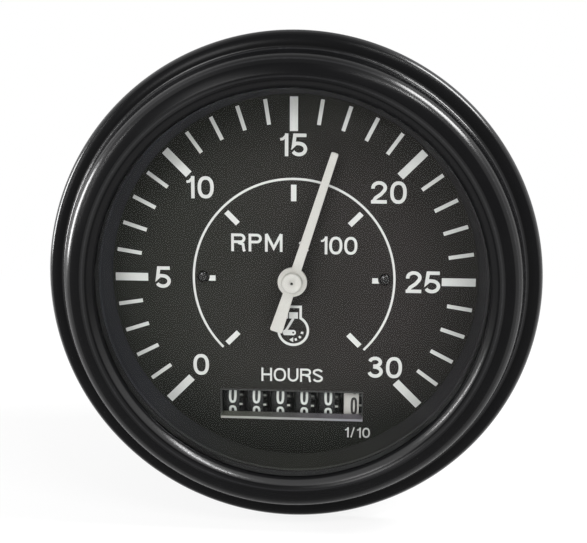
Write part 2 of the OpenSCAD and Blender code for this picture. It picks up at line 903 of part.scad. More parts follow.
module terminal_washers()
    upright()
        color("#c9c9c4")
            for (x = terminal_x)
                translate([x, terminal_y, 0])
                    tube(4, terminal_neck + seat_gap, back_z - washer_t, back_z);

// A hexagonal nut on a stud, resting against a face at z = top
module nut_on(af, bore, thick, top)
    difference() {
        hex(af, top - thick, top);
        rod(bore, top - thick - 1, top + 1);
    }

module terminal_nuts()
    upright()
        color("#d1aa55")
            for (x = terminal_x)
                translate([x, terminal_y, 0])
                    nut_on(7, terminal_neck + seat_gap, nut_t, back_z - washer_t);

module mounting_studs()
    upright()
        color("#bdbfc0")
            mirrored_x()
                translate([stud_x, 0, 0]) {
                    hex(8, floor_z, floor_z + stud_head);
                    rod(stud_r, back_z - stud_out, floor_z);
                }

// Thin nuts that hold the studs in the case back, clear of the clamp
module stud_nuts()
    upright()
        color("#c9c9c4")
            mirrored_x()
                translate([stud_x, 0, 0])
                    nut_on(8, stud_r + seat_gap, lock_nut_t, back_z);

// Pointer and rotor, which turn together

pointer_angle = scale_angle(reading);
blade_top = face_z + pointer_lift;
blade_low = blade_top - pointer_t;
waist_w = 2;
tip_w = 1.46;
tail_w = 2.6;
disc_r = 2.93;
cap_r = 2.05;
cap_h = 1.5;

// One arm of the pointer from its waist at the axis to a rounded end
module arm(long, end_w) {
    corner = 0.35;
    polygon(concat([[0, -waist_w / 2]],
        arc_points([long - corner, corner - end_w / 2], corner, corner, -90, 0, 4),
        arc_points([long - corner, end_w / 2 - corner], corner, corner, 0, 90, 4),
        [[0, waist_w / 2]]));
}

module pointer_blade()
    upright()
        color("#e6e2d4")
            rotate(pointer_angle)
                difference() {
                    union() {
                        translate([0, 0, blade_low])
                            linear_extrude(pointer_t) {
                                arm(pointer_tip, tip_w);
                                rotate(180)
                                    arm(pointer_tail, tail_w);
                            }
                        rod(disc_r, blade_low, blade_top);
                    }
                    rod(spindle_r + seat_gap, blade_low - 1, blade_top + 1);
                }

module pointer_hub()
    upright()
        color("#dedad0")
            difference() {
                rotate_extrude()
                    polygon(concat([[0, blade_top], [cap_r, blade_top]],
                        arc_points([cap_r - 0.4, blade_top + cap_h - 0.4], 0.4, 0.4, 0, 90, 4),
                        [[0, blade_top + cap_h]]));
                rod(0.24, blade_top + cap_h - 0.8, blade_top + cap_h + 1, $fn = 32);
                rod(spindle_r + seat_gap, blade_top - 1, blade_top + 0.5);
            }

module pointer_spindle()
    upright()
        color("#c4c4c4")
            rod(spindle_r, bobbin_z - bobbin_h + 0.5, blade_top + 0.4);

module rotor_magnet()
    upright()
        color("#5b5d60")
            translate([0, 0, bobbin_z - bobbin_h / 2])
                tube(rotor_r, spindle_r + seat_gap, -rotor_h / 2, rotor_h / 2);

// Number wheels and the gears that turn them. A wheel is drawn along z, with z = 0 at its place in the row.

function wheel_turn(k) = k == 0 ? 0 : -wheel_lag * 360 / digits;

module number_wheel(k) {
    bore = axle_r + run_gap;
    upright()
        color(k == 0 ? "#e8e6df" : "#1c1c1d")
            across(wheel_x(k), counter_y, counter_z)
                difference() {
                    union() {
                        rod(wheel_r, -drum_left, drum_w - drum_left);
                        rod(wheel_r * 0.78, -drum_left - disc_w, -drum_left + 0.1);
                        translate([0, 0, drum_w - drum_left - 0.1])
                            gear(ring_module, ring_teeth, ring_w + 0.1, bore, wheel_turn(k));
                    }
                    rod(bore, -5, 5);
                    difference() {
                        rod(wheel_r * 0.68, -drum_left - disc_w - 1, -drum_left + 1.6);
                        rod(axle_r + 1.2, -5, 5);
                    }
                }
}

// The pinion between wheel k and the wheel on its right
module transfer_pinion(k)
    upright()
        color("#d9d5c6")
            across(wheel_x(k) - drum_left + drum_w + pinion_left, counter_y, shaft_z)
                gear(ring_module, pinion_teeth, pinion_w, shaft_r + run_gap,
                    180 / pinion_teeth - wheel_turn(k) * ring_teeth / pinion_teeth);

module wheel_tenths() number_wheel(0);
module wheel_units() number_wheel(1);
module wheel_tens() number_wheel(2);
module wheel_hundreds() number_wheel(3);
module wheel_thousands() number_wheel(4);
module wheel_ten_thousands() number_wheel(5);
module pinion_units() transfer_pinion(1);
module pinion_tens() transfer_pinion(2);
module pinion_hundreds() transfer_pinion(3);
module pinion_thousands() transfer_pinion(4);
module pinion_ten_thousands() transfer_pinion(5);

// Pinion on the tenths wheel joined to the large gear that the motor turns
module drive_gear()
    upright()
        color("#d9d5c6") {
            across(gear_x - 1.5, counter_y, shaft_z)
                gear(ring_module, pinion_teeth, 1.5 + gear_w, shaft_r + run_gap, 180 / pinion_teeth);
            across(gear_x, counter_y, shaft_z)
                gear(gear_module, gear_teeth, gear_w, shaft_r + run_gap, 90);
        }

// The motor pinion stands at motor_lean from the gear's vertical, so its teeth start in step with that line
module motor_pinion() {
    line = 90 - motor_lean;
    upright()
        color("#c9a24a")
            across(gear_x - 0.1, motor_y, motor_z) {
                gear(gear_module, motor_teeth, gear_w + 0.2, 0.3,
                    line + 180 + 180 / motor_teeth + (line - 90) * gear_teeth / motor_teeth);
                rod(0.45, gear_w + 0.1, frame_right - gear_x + frame_t + 3);
            }
}

module trimmer_screw()
    upright()
        color("#d8d8d2")
            translate([trimmer_at[0], trimmer_at[1], 0])
                difference() {
                    rod(2.2 - 2 * run_gap, board_back - trimmer_h - 0.8, board_back - 1.6);
                    box([-2.3, -0.3, board_back - trimmer_h - 2], [2.3, 0.3, board_back - trimmer_h]);
                }

// Soft plug in the hole that leads to the trimmer
module trimmer_plug()
    upright()
        color("#1a1a1b")
            translate([trimmer_at[0], trimmer_at[1], 0]) {
                rod(trimmer_hole_r - 2 * seat_gap, back_z - 0.1, floor_z + 0.8);
                rod(trimmer_hole_r + 1.5, back_z - 1.2, back_z);
                rod(1.2, back_z - 2.6, back_z - 1.1);
            }

module lamp_holder()
    upright()
        color("#26282b")
            translate([0, lamp_y, 0])
                difference() {
                    union() {
                        rod(lamp_r, back_z, floor_z + lamp_in);
                        rod(lamp_r + 2, back_z - lamp_flange, back_z);
                        box([-lamp_r, -1.2, back_z - lamp_flange - 3], [lamp_r, 1.2, back_z - lamp_flange]);
                    }
                    rod(2.6, floor_z + 2, floor_z + lamp_in + 1);
                }

module lamp_bulb()
    upright()
        color("#f2efe2", 0.5)
            translate([0, lamp_y, 0]) {
                rod(2.5, floor_z + 2.1, floor_z + lamp_in + 2);
                rod(bulb_r, floor_z + lamp_in + 1, floor_z + lamp_in + bulb_h - bulb_r);
                translate([0, 0, floor_z + lamp_in + bulb_h - bulb_r])
                    sphere(r = bulb_r);
            }

// Clamp that draws the case back against the panel

module clamp_bracket()
    upright()
        color("#a9abad")
            difference() {
                union() {
                    box([-clamp_x - clamp_t, -clamp_w / 2, clamp_z - clamp_t],
                        [clamp_x + clamp_t, clamp_w / 2, clamp_z]);
                    mirrored_x() {
                        box([clamp_x, -clamp_w / 2, clamp_z - clamp_t],
                            [clamp_x + clamp_t, clamp_w / 2, -panel_t]);
                        box([clamp_x, -clamp_w / 2, -panel_t - clamp_t],
                            [clamp_x + clamp_t + clamp_foot, clamp_w / 2, -panel_t]);
                    }
                }
                mirrored_x()
                    translate([stud_x, 0, 0])
                        rod(stud_r + slip_gap, clamp_z - clamp_t - 1, clamp_z + 1);
            }

module clamp_washers()
    upright()
        color("#c9c9c4")
            mirrored_x()
                translate([stud_x, 0, 0])
                    tube(2 * stud_r, stud_r + slip_gap / 2, clamp_z - clamp_t - 1, clamp_z - clamp_t);

module clamp_nuts()
    upright()
        color("#c4c6c7")
            mirrored_x()
                translate([stud_x, 0, 0])
                    nut_on(8, stud_r + seat_gap, 4, clamp_z - clamp_t - 1);

case_shell();
case_collar();
bezel_ring();
front_glass();
glass_gasket();
dial_surround();
dial_plate();
dial_print();
window_frame();
dial_screws();
dial_posts();
chassis_plate();
chassis_screws();
movement_stand();
shield_can();
coil_bobbin();
coil_inner();
coil_outer();
upper_bearing();
lower_bearing();
counter_frame();
counter_shafts();
drive_motor();
circuit_board();
board_posts();
board_screws();
board_chips();
board_capacitors();
board_resistors();
trimmer_body();
terminal_straps();
terminal_studs();
terminal_washers();
terminal_nuts();
mounting_studs();
stud_nuts();
pointer_blade();
pointer_hub();
pointer_spindle();
rotor_magnet();
wheel_tenths();
wheel_units();
wheel_tens();
wheel_hundreds();
wheel_thousands();
wheel_ten_thousands();
pinion_units();
pinion_tens();
pinion_hundreds();
pinion_thousands();
pinion_ten_thousands();
drive_gear();
motor_pinion();
trimmer_screw();
trimmer_plug();
lamp_holder();
lamp_bulb();
clamp_bracket();
clamp_washers();
clamp_nuts();
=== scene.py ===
# %% [markdown]
# # A panel tachometer with an hour counter
#
# The object is a round engine instrument: a black stepped bezel, a flat glass, a charcoal dial with
# a pale pointer, and a row of six number wheels behind a window. Its exact shape comes from the CAD
# frame. This script loads that frame, gives each part its finish, and swaps the parts whose edges
# catch the light for smoother ones at the same place.
#
# The frame could be imported by hand, but one call reads it, keeps the bodies that move together
# and counts them, so every later cell can look pieces up instead of guessing where they are.

import json

import bmesh
import bpy
import numpy as np
from mathutils import Matrix, Vector


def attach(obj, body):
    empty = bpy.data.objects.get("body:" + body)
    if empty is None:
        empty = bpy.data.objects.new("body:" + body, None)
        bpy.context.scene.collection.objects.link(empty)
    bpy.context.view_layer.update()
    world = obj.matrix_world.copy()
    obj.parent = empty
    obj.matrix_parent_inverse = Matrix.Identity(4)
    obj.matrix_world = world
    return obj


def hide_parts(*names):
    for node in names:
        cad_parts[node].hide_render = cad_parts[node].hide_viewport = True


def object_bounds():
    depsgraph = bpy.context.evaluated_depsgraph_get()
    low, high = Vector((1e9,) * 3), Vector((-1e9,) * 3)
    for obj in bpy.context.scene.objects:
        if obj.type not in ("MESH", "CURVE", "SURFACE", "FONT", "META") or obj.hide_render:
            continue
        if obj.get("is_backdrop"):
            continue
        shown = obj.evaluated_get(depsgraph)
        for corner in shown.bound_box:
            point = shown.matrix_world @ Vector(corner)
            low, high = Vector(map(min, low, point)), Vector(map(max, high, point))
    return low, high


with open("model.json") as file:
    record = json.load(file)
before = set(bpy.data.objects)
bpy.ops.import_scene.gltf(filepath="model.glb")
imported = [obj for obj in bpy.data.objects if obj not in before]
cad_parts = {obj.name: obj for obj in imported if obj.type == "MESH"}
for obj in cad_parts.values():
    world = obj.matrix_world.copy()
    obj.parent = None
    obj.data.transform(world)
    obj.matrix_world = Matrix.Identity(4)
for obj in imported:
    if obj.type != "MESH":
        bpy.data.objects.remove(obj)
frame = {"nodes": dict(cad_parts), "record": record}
cad_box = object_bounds()
slot_of = {row["node"]: row["material_slot"] for row in frame["record"]["subparts"]}
bodies = frame["record"]["behaviour"]["bodies"]
body_of = {node: body for body, nodes in bodies.items() for node in nodes}
print("nodes:", len(frame["nodes"]), "bodies:", len(bodies), "slots:", len(set(slot_of.values())))

# %% [markdown]
# ## Measuring in millimetres
#
# Instrument makers draw a gauge face on: so far across, so far up, and so far out towards the
# driver. Blender works in metres with the dial facing -Y. One small function turns the first way of
# measuring into the second, so the numbers below can be read off a ruler.

# %% From the drawing to the frame
MM = 0.001


def stand(across, up, out):
    """Places in the frame, in metres: x is across, y is minus out, z is up."""
    across, up, out = np.broadcast_arrays(across, up, out)
    return np.stack([across, -out, up], axis=-1) * MM


print("the middle of the glass stands at", stand(0.0, 0.0, 6.85))

# %% [markdown]
# ## The camera
#
# The photograph looks at the gauge from a little above and a little to the right, from close by, so
# the bezel's rings are not quite concentric. A camera could be turned by eye until the rings fit.
# Here its place is worked out from an azimuth, an elevation and a distance instead, and its lens
# from the width that the picture gives to the bezel, for a picture of 587 by 543 points.

# %% Place the camera
PICTURE_WIDTH = 587
AZIMUTH, ELEVATION, ROLL = np.radians([4.3, 10.7, 0.2])
DISTANCE = 203.2
FOCAL = 1021.0
SENSOR = 36.0
NEAREST = 0.005
AIM = stand(0.2, 2.1, 0.0)

sideways = np.array([np.sin(AZIMUTH), -np.cos(AZIMUTH), 0.0])
outward = sideways * np.cos(ELEVATION) + np.array([0.0, 0.0, np.sin(ELEVATION)])
level = np.cross(-outward, (0.0, 0.0, 1.0))
level /= np.linalg.norm(level)
upward = np.cross(level, -outward)
right = level * np.cos(ROLL) + upward * np.sin(ROLL)
top = upward * np.cos(ROLL) - level * np.sin(ROLL)

lens = bpy.data.cameras.new("camera")
lens.sensor_fit = "HORIZONTAL"
lens.sensor_width = SENSOR
lens.lens = FOCAL * SENSOR / PICTURE_WIDTH
lens.clip_start = NEAREST
camera = bpy.data.objects.new("camera", lens)
bpy.context.scene.collection.objects.link(camera)
turn = Matrix(np.column_stack([right, top, outward]).tolist()).to_4x4()
camera.matrix_world = Matrix.Translation(Vector(AIM + outward * DISTANCE * MM)) @ turn
bpy.context.scene.camera = camera
bpy.context.scene.view_settings.view_transform = "Standard"
spot = [round(v, 4) for v in camera.matrix_world.translation]
print("camera at", spot, "with a lens of", round(lens.lens, 1), "mm")

# %% [markdown]
# ## Shading maths as sums
#
# A material is a small graph of nodes. Adding every node and link by hand hides what the graph
# works out. `Wire` wraps one output socket and gives it the usual operators, so `1 - mask * 0.4`
# adds two Math nodes and reads as what it is. Whatever isn't a sum goes through its one method,
# `node`, which takes the kind of node, its settings, and what its sockets get.

# %% Wire, a socket that can be added and multiplied
class Wire:
    """One value on its way through a material's nodes."""

    def __init__(self, tree, socket=None):
        self.tree, self.socket = tree, socket

    def node(self, kind, settings=None, sockets=None, out=0):
        """Adds a node: its settings first, then a value or a wire for each socket. Returns one
        output, or an empty wire where the node has none."""
        made = self.tree.nodes.new("ShaderNode" + kind)
        for name, value in (settings or {}).items():
            if name == "stops":
                marks = made.color_ramp.elements
                marks[0].position, marks[0].color = value[0]
                marks[1].position, marks[1].color = value[-1]
                for position, colour in value[1:-1]:
                    marks.new(position).color = colour
            else:
                setattr(made, name, value)
        for name, value in (sockets or {}).items():
            if isinstance(value, Wire):
                self.tree.links.new(value.socket, made.inputs[name])
            else:
                made.inputs[name].default_value = value
        return Wire(self.tree, made.outputs[out] if made.outputs else None)

    def maths(self, operation, first, second=0.0):
        return self.node("Math", {"operation": operation}, {0: first, 1: second})

    def __add__(self, other):
        return self.maths("ADD", self, other)

    def __radd__(self, other):
        return self.maths("ADD", other, self)

    def __sub__(self, other):
        return self.maths("SUBTRACT", self, other)

    def __rsub__(self, other):
        return self.maths("SUBTRACT", other, self)

    def __mul__(self, other):
        return self.maths("MULTIPLY", self, other)

    def __truediv__(self, other):
        return self.maths("DIVIDE", self, other)

    def __pow__(self, other):
        return self.maths("POWER", self, other)

    def __abs__(self):
        return self.maths("ABSOLUTE", self)

    def __gt__(self, other):
        return self.maths("GREATER_THAN", self, other)

    def __lt__(self, other):
        return self.maths("LESS_THAN", self, other)


print("Wire is ready")

# %% [markdown]
# ## Reading place, noise and colour
#
# A pattern on a real part has a size: moulding grain is a tenth of a millimetre, clouding is a
# centimetre. So every pattern here reads the object's own coordinates in metres, and says how many
# millimetres one of its features measures. Colours are written as they look on a screen, from 0 to
# 255, and turned into the linear values that the shader adds up.

# %% Helpers for patterns
def shade(red, green, blue):
    """A screen colour as linear light: s/12.92 up to 0.04045, else ((s + 0.055)/1.055)^2.4."""
    screen = np.array([red, green, blue]) / 255.0
    linear = np.where(screen <= 0.04045, screen / 12.92, ((screen + 0.055) / 1.055) ** 2.4)
    return (*(float(v) for v in linear), 1.0)


def place_on(start):
    """The object's own coordinates, in metres."""
    return start.node("TexCoord", out="Object")


def noise(place, feature, detail=2.0, stretch=(1.0, 1.0, 1.0)):
    """Smooth noise from 0 to 1. Features measure so many millimetres, times stretch by axis."""
    shrunk = tuple(1.0 / s for s in stretch)
    scaled = place.node("Mapping", sockets={"Vector": place, "Scale": shrunk})
    sockets = {"Vector": scaled, "Scale": 1.0 / (feature * MM), "Detail": detail, "Roughness": 0.55}
    return place.node("TexNoise", sockets=sockets)


def between(value, low, high):
    """0 below low, 1 above high, and a smooth step from one to the other."""
    return value.node("MapRange", {"interpolation_type": "SMOOTHSTEP"}, {0: value, 1: low, 2: high})


def mix(mask, first, second):
    """Colour first where the mask is 0 and second where it is 1."""
    return mask.node("Mix", {"data_type": "RGBA"}, {0: mask, 6: first, 7: second}, out=2)


def specks(place, spacing, size, share):
    """1 on small round spots: where the nearest Voronoi point is closer than size, and only in
    that share of the cells, picked by their random number."""
    sockets = {"Vector": place, "Scale": 1.0 / (spacing * MM)}
    distance = place.node("TexVoronoi", sockets=sockets)
    cell = place.node("TexVoronoi", sockets=sockets, out="Color")
    lot = place.node("SeparateColor", sockets={0: cell})
    return (distance < size / spacing) * (lot > 1.0 - share)


def bump(height, depth, strength=1.0):
    """A Bump node for a height from 0 to 1 that stands depth millimetres high."""
    sockets = {"Height": height, "Distance": depth * MM, "Strength": strength}
    return height.node("Bump", sockets=sockets)


def coordinates(place):
    """Across, up and out in millimetres, as three wires."""
    parts = [place.node("SeparateXYZ", sockets={0: place}, out=axis) for axis in ("X", "Z", "Y")]
    return parts[0] / MM, parts[1] / MM, parts[2] / -MM


def reach_from(first, second):
    """Distance from an axis: the square root of first squared plus second squared."""
    return (first * first + second * second) ** 0.5


print("a mid grey of 128 is", round(shade(128, 128, 128)[0], 3), "in linear light")

# %% [markdown]
# ## One way to make a finish
#
# Each finish below is a function that gets a starting wire and returns what its Principled shader's
# sockets are to hold. `finish` makes the material, runs the function, plugs the results in and
# keeps the material under its name. The same number could be typed into twenty materials by hand,
# but then a change to how plastic looks would be twenty changes.

FINISH = {}


def finish(name, recipe, **facts):
    """A material whose Principled sockets hold what the recipe returns, as values or as wires."""
    material = bpy.data.materials.new(name)
    material.use_nodes = True
    shader = next(n for n in material.node_tree.nodes if n.type == "BSDF_PRINCIPLED")
    for socket, value in recipe(Wire(material.node_tree), **facts).items():
        if isinstance(value, Wire):
            material.node_tree.links.new(value.socket, shader.inputs[socket])
        else:
            shader.inputs[socket].default_value = value
    FINISH[name] = material


print("finish() is ready")

# %% [markdown]
# ## The bezel's black lacquer
#
# The bezel is pressed metal with a thin black lacquer. What sells it in a photograph is the bright
# streak along each ridge beside flats that stay nearly black. One gloss can't give both: a high one
# turns the flats grey, and a low one loses the streaks. So the lacquer itself is weak in gloss, and
# a clear coat lies on the ridges only, most of it on the two flanks, where hands hold the ring and
# polish it, and low on the slope down to the glass, where a cloth runs round. The ridges are found
# from their distance to the dial's axis. A slow orange peel bends the streaks, and a few grains of
# dust sit on the flats.

# %% Lacquer
RIDGES = [(40.3, 0.35), (43.6, 0.7), (45.5, 0.35), (48.7, 0.5)]
SLOPE_AT = 39.0


def lacquer(start, ridges, slope):
    """Ridges: pairs of distance from the axis and half width. Slope: the inner slope's distance."""
    place = place_on(start)
    across, up = coordinates(place)[:2]
    distance = reach_from(across, up)
    dust = specks(place, 3.2, 0.07, 0.3)
    handled = noise(place, 14.0, 3.0)
    scuffs = between(noise(place, 1.3, 3.0), 0.55, 0.8)
    rubbed = polished = 0.0
    for ridge, reach in ridges:
        away = abs(distance - ridge)
        rubbed = rubbed + between(away, 0.25, 0.05)
        polished = polished + between(away, reach + 0.25, reach)
    ridge_wear_and_highlight = rubbed * (0.45 + scuffs * 0.55)
    low = between(up, 0.0, -24.0)
    flank = between(abs(across), 6.0, 24.0)
    held = polished.maths("MINIMUM", polished, 1.0) * (0.36 - low * 0.14) * (0.2 + flank * 0.8)
    wiped = between(abs(distance - slope), 0.6, 0.3) * (0.15 + low * 0.75)
    black = mix(handled, shade(5, 5, 6), shade(12, 12, 13))
    # Paler grey along each ridge: partly wear, partly a painted highlight line on the ridge.
    black = mix(ridge_wear_and_highlight * 0.4, black, shade(60, 60, 62))
    return {
        "Base Color": mix(dust * 0.5, black, shade(120, 119, 116)),
        "Roughness": 0.2 + handled * 0.08 + ridge_wear_and_highlight * 0.06 + dust * 0.3,
        "IOR": 1.16,
        "Coat Weight": held + wiped,
        "Coat IOR": 1.55,
        "Coat Roughness": 0.2,
        "Normal": bump(noise(place, 7.0, 1.0), 0.01, 0.5),
    }


finish("bezel_black", lacquer, ridges=RIDGES, slope=SLOPE_AT)
print("lacquer:", len(FINISH["bezel_black"].node_tree.nodes), "nodes")

# %% [markdown]
# ## Moulded plastics
#
# The case, the lamp holder, the gears and the chips are injection moulded. Such a surface has a
# fine even grain from the mould, a slow change of shade where the melt ran, and a few rubbed spots
# that shine more. One recipe with a colour, a shine and a grain size makes them all. The black coat
# on small screws and the paint of the wheels' figures are as even as a moulding, so they come from
# here too.

# %% Moulded plastic
def moulded(start, colour, rough=0.45, grain=0.25, depth=0.01, lift=1.35):
    place = place_on(start)
    melt = noise(place, 18.0, 3.0)
    pebble = noise(place, grain, 2.0)
    rubbed = between(noise(place, 5.0, 4.0), 0.6, 0.75)
    paler = tuple(min(1.0, c * lift + 0.002) for c in colour[:3]) + (1.0,)
    return {
        "Base Color": mix(melt, colour, paler),
        "Roughness": rough + pebble * 0.12 - rubbed * 0.1,
        "Normal": bump(pebble, depth),
    }


PLASTICS = {
    "case_plastic": dict(colour=shade(24, 24, 26), rough=0.42, grain=0.35, depth=0.02),
    "lamp_black": dict(colour=shade(30, 31, 33), rough=0.36),
    "chip_black": dict(colour=shade(22, 22, 23), rough=0.55, grain=0.12),
    "white_plastic": dict(colour=shade(214, 211, 202), rough=0.4, lift=1.08),
    "gear_plastic": dict(colour=shade(204, 199, 184), rough=0.35, lift=1.08),
    "trimmer_blue": dict(colour=shade(34, 74, 150), rough=0.35),
    "capacitor_blue": dict(colour=shade(32, 52, 98), rough=0.3, grain=0.6),
    "rubber": dict(colour=shade(20, 20, 20), rough=0.7, grain=0.2, depth=0.015),
    "digit_white": dict(colour=shade(208, 211, 206), rough=0.45, grain=0.5, lift=1.05),
    "digit_black": dict(colour=shade(36, 32, 32), rough=0.5, grain=0.5),
    "black_steel": dict(colour=shade(14, 12, 11), rough=0.05, grain=0.8, depth=0.002),
}
for name, facts in PLASTICS.items():
    finish(name, moulded, **facts)
print("plastics:", len(PLASTICS))

# %% [markdown]
# ## Metals
#
# Plated steel and brass are never one flat grey. Turning leaves fine rings round the part's axis,
# rolling leaves lines along the sheet, and handling leaves duller clouds. The lines come from noise
# drawn out along one axis, which is how a cutter leaves them, and the clouds from a slower noise
# that shifts the colour towards a tarnish.

# %% Metal
def metal(start, colour, tarnish, rough=0.28, lines=(1.0, 1.0, 1.0)):
    place = place_on(start)
    marks = noise(place, 0.12, 2.0, stretch=lines)
    clouds = between(noise(place, 6.0, 4.0), 0.4, 0.75)
    return {
        "Base Color": mix(clouds * 0.7, colour, tarnish),
        "Metallic": 1.0 - clouds * 0.1,
        "Roughness": rough + marks * 0.12 + clouds * 0.14,
        "Normal": bump(marks, 0.004),
    }


OUTWARD, ACROSS = (1.0, 9.0, 1.0), (9.0, 1.0, 1.0)
METALS = {
    "zinc_steel": dict(colour=shade(170, 172, 171), tarnish=shade(138, 137, 128), lines=OUTWARD),
    "steel": dict(colour=shade(176, 176, 174), tarnish=shade(140, 138, 134), lines=ACROSS),
    "shield_steel": dict(colour=shade(158, 160, 162), tarnish=shade(124, 122, 116), rough=0.34),
    "brass": dict(colour=shade(206, 172, 96), tarnish=shade(158, 120, 62), lines=OUTWARD),
    "magnet_grey": dict(colour=shade(92, 94, 98), tarnish=shade(70, 70, 72), rough=0.5),
}
for name, facts in METALS.items():
    finish(name, metal, **facts)
print("metals:", list(METALS))

# %% [markdown]
# ## Dial paint and its print
#
# The dial is sprayed a flat charcoal that drifts a little towards green on the left and towards
# brown on the right. It is painted darker towards the rim and towards the bottom below the counter:
# painted shade of the recess under the bezel. The marks are screen printed in one pass of off-white
# ink, painted greyer towards the rim as painted shade from the bezel. Flat paint has no gloss to
# speak of, so it is the fine tooth of the spray that keeps it from looking like a hole. The ring
# round the dial is the same kind of paint, bluish on the left, nearly black on the right and olive
# at the bottom.

# %% Paint and ink
DIAL_EDGE = 39.0
MARK_FOOT, MARK_END = 30.5, 36.6


def dial_paint(start):
    place = place_on(start)
    across, up = coordinates(place)[:2]
    side = between(across + noise(place, 30.0, 2.0) * 16.0, -22.0, 38.0)
    tooth = noise(place, 0.16, 3.0)
    distance = reach_from(across, up)
    # Painted shade: darker towards the rim and towards the bottom, for the recess under the bezel.
    painted_recess_shade = between(distance, 18.0, DIAL_EDGE) * 0.55 + between(up, -16.0, -33.0) * 0.45
    ground = mix(painted_recess_shade, mix(side, shade(43, 43, 39), shade(47, 43, 42)), shade(26, 27, 23))
    return {
        "Base Color": mix(specks(place, 1.1, 0.05, 0.12) * 0.3, ground, shade(96, 95, 90)),
        "Roughness": 0.62 + tooth * 0.2,
        "IOR": 1.2,
        "Normal": bump(tooth, 0.002),
    }


def ink(start):
    place = place_on(start)
    across, up = coordinates(place)[:2]
    # Painted shade: the marks turn greyer towards their outer ends, for the bezel's shadow.
    rim = between(reach_from(across, up), MARK_FOOT, MARK_END)
    patchy = noise(place, 0.5, 3.0)
    return {
        "Base Color": mix(rim * 0.2 + patchy * 0.12, shade(217, 217, 214), shade(146, 146, 144)),
        "Roughness": 0.5 + patchy * 0.15,
        "Normal": bump(patchy, 0.006),
    }


def ring_paint(start):
    place = place_on(start)
    across, up = coordinates(place)[:2]
    drift = noise(place, 12.0, 2.0) * 10.0
    tooth = noise(place, 0.3)
    blue_to_brown = mix(between(across + drift, -24.0, 34.0), shade(38, 39, 45), shade(31, 29, 32))
    return {
        "Base Color": mix(between(up + drift, -18.0, -36.0), blue_to_brown, shade(37, 38, 31)),
        "Roughness": 0.6 + tooth * 0.12,
        "Normal": bump(tooth, 0.004),
    }


finish("dial_face", dial_paint)
finish("print", ink)
finish("surround", ring_paint)
print("dial finishes are ready")

# %% [markdown]
# ## The pointer's ivory
#
# The pointer is a thin sheet blade sprayed warm white. It is the brightest thing on the dial, so it
# must stay below pure white or its edges vanish: a warm off-white, a soft sheen, and the faint
# dimples of a sprayed coat, with grey gathering where the hub has been touched. A dark dot in the
# middle of the hub is painted shade for the pin hole there.

# %% Ivory paint
PIN_HOLE_SHADE_EDGE = (0.32, 0.22)


def ivory(start):
    place = place_on(start)
    across, up = coordinates(place)[:2]
    distance = reach_from(across, up)
    near_hub = 1.0 - between(distance, 2.0, 5.0)
    touched = between(noise(place, 1.5, 4.0), 0.5, 0.8) * (0.1 + near_hub * 0.2)
    coat = mix(touched, shade(203, 200, 194), shade(160, 156, 148))
    return {
        # The dark dot in the middle of the hub is painted shade for the pin hole.
        "Base Color": mix(between(distance, *PIN_HOLE_SHADE_EDGE), coat, shade(24, 22, 20)),
        "Roughness": 0.4 + noise(place, 0.8, 3.0) * 0.15,
        "Normal": bump(noise(place, 0.7, 2.0), 0.008),
    }


finish("pointer_ivory", ivory)
print("ivory is ready")

# %% [markdown]
# ## Number wheels
#
# Each wheel is one moulding: a band for the digits, a rim of twenty teeth on its right, and a
# narrow disc on its left. The band is black on five wheels and white on the last, and the flat tips
# of the teeth are painted pale, every second one brighter as a painted highlight, which reads as
# small dashes beside each digit. Separate tips could be modelled, but paint on a tooth has no
# thickness worth having, so the recipe finds the tips by how far they lie from the axle, along
# which part of the wheel, and which tooth by its angle.

# %% Wheel bands and painted tooth tips
WHEEL_AT = [12.5, 7.5, 2.5, -2.5, -7.5, -12.5]
WHEEL_R, WHEEL_PITCH = 6.6, 5.0
AXLE_UP, AXLE_OUT = -26.8, -11.0
WHEEL_LEFT = 2.55
BAND, RIM = (0.48, 3.62), (3.66, 4.3)
TEETH, TIP_R = 20, 6.41


def wheel_band(start, band):
    """Along the wheel, t = pitch times the fraction of (across - left end) / pitch: the band and
    the toothed rim lie between two values of t. Every second tooth lies where cos(teeth / 2 *
    angle) is above 0."""
    place = place_on(start)
    across, up, out = coordinates(place)
    along = across.maths("FRACT", (across - (WHEEL_AT[0] - WHEEL_LEFT)) / WHEEL_PITCH) * WHEEL_PITCH
    high, deep = up - AXLE_UP, out - AXLE_OUT
    on_band = (along > BAND[0]) * (along < BAND[1])
    turned = high.maths("ARCTAN2", high, deep)
    # Every second tooth tip is painted brighter: a painted highlight.
    second = turned.maths("COSINE", turned * (TEETH / 2)) > 0.0
    tips = (reach_from(high, deep) > TIP_R) * (along > RIM[0]) * (along < RIM[1])
    moulding = noise(place, 0.6, 3.0)
    body = mix(on_band, shade(14, 15, 14), band)
    return {
        "Base Color": mix(tips * (0.35 + second * 0.6), body, shade(214, 216, 208)),
        "Roughness": 0.42 + moulding * 0.16,
        "Normal": bump(moulding, 0.01),
    }


finish("drum_black", wheel_band, band=shade(13, 14, 13))
finish("drum_white", wheel_band, band=shade(196, 193, 188))
print("wheels at", WHEEL_AT, "mm from the middle")

# %% [markdown]
# ## The window's frame and its lit sill
#
# Below the wheels the frame slopes forward and ends in a front edge that catches the light as a
# pale line. It is the same grey moulding as the rest, and that light is painted: one mask on the
# height paints the slope a lighter grey and a second one paints a pale strip along the front edge,
# both as painted highlights.

# %% Frame and sill
SLOPE_UP, STRIP_UP, STRIP_OUT = -28.6, -29.15, -2.6
BLUR = 0.05


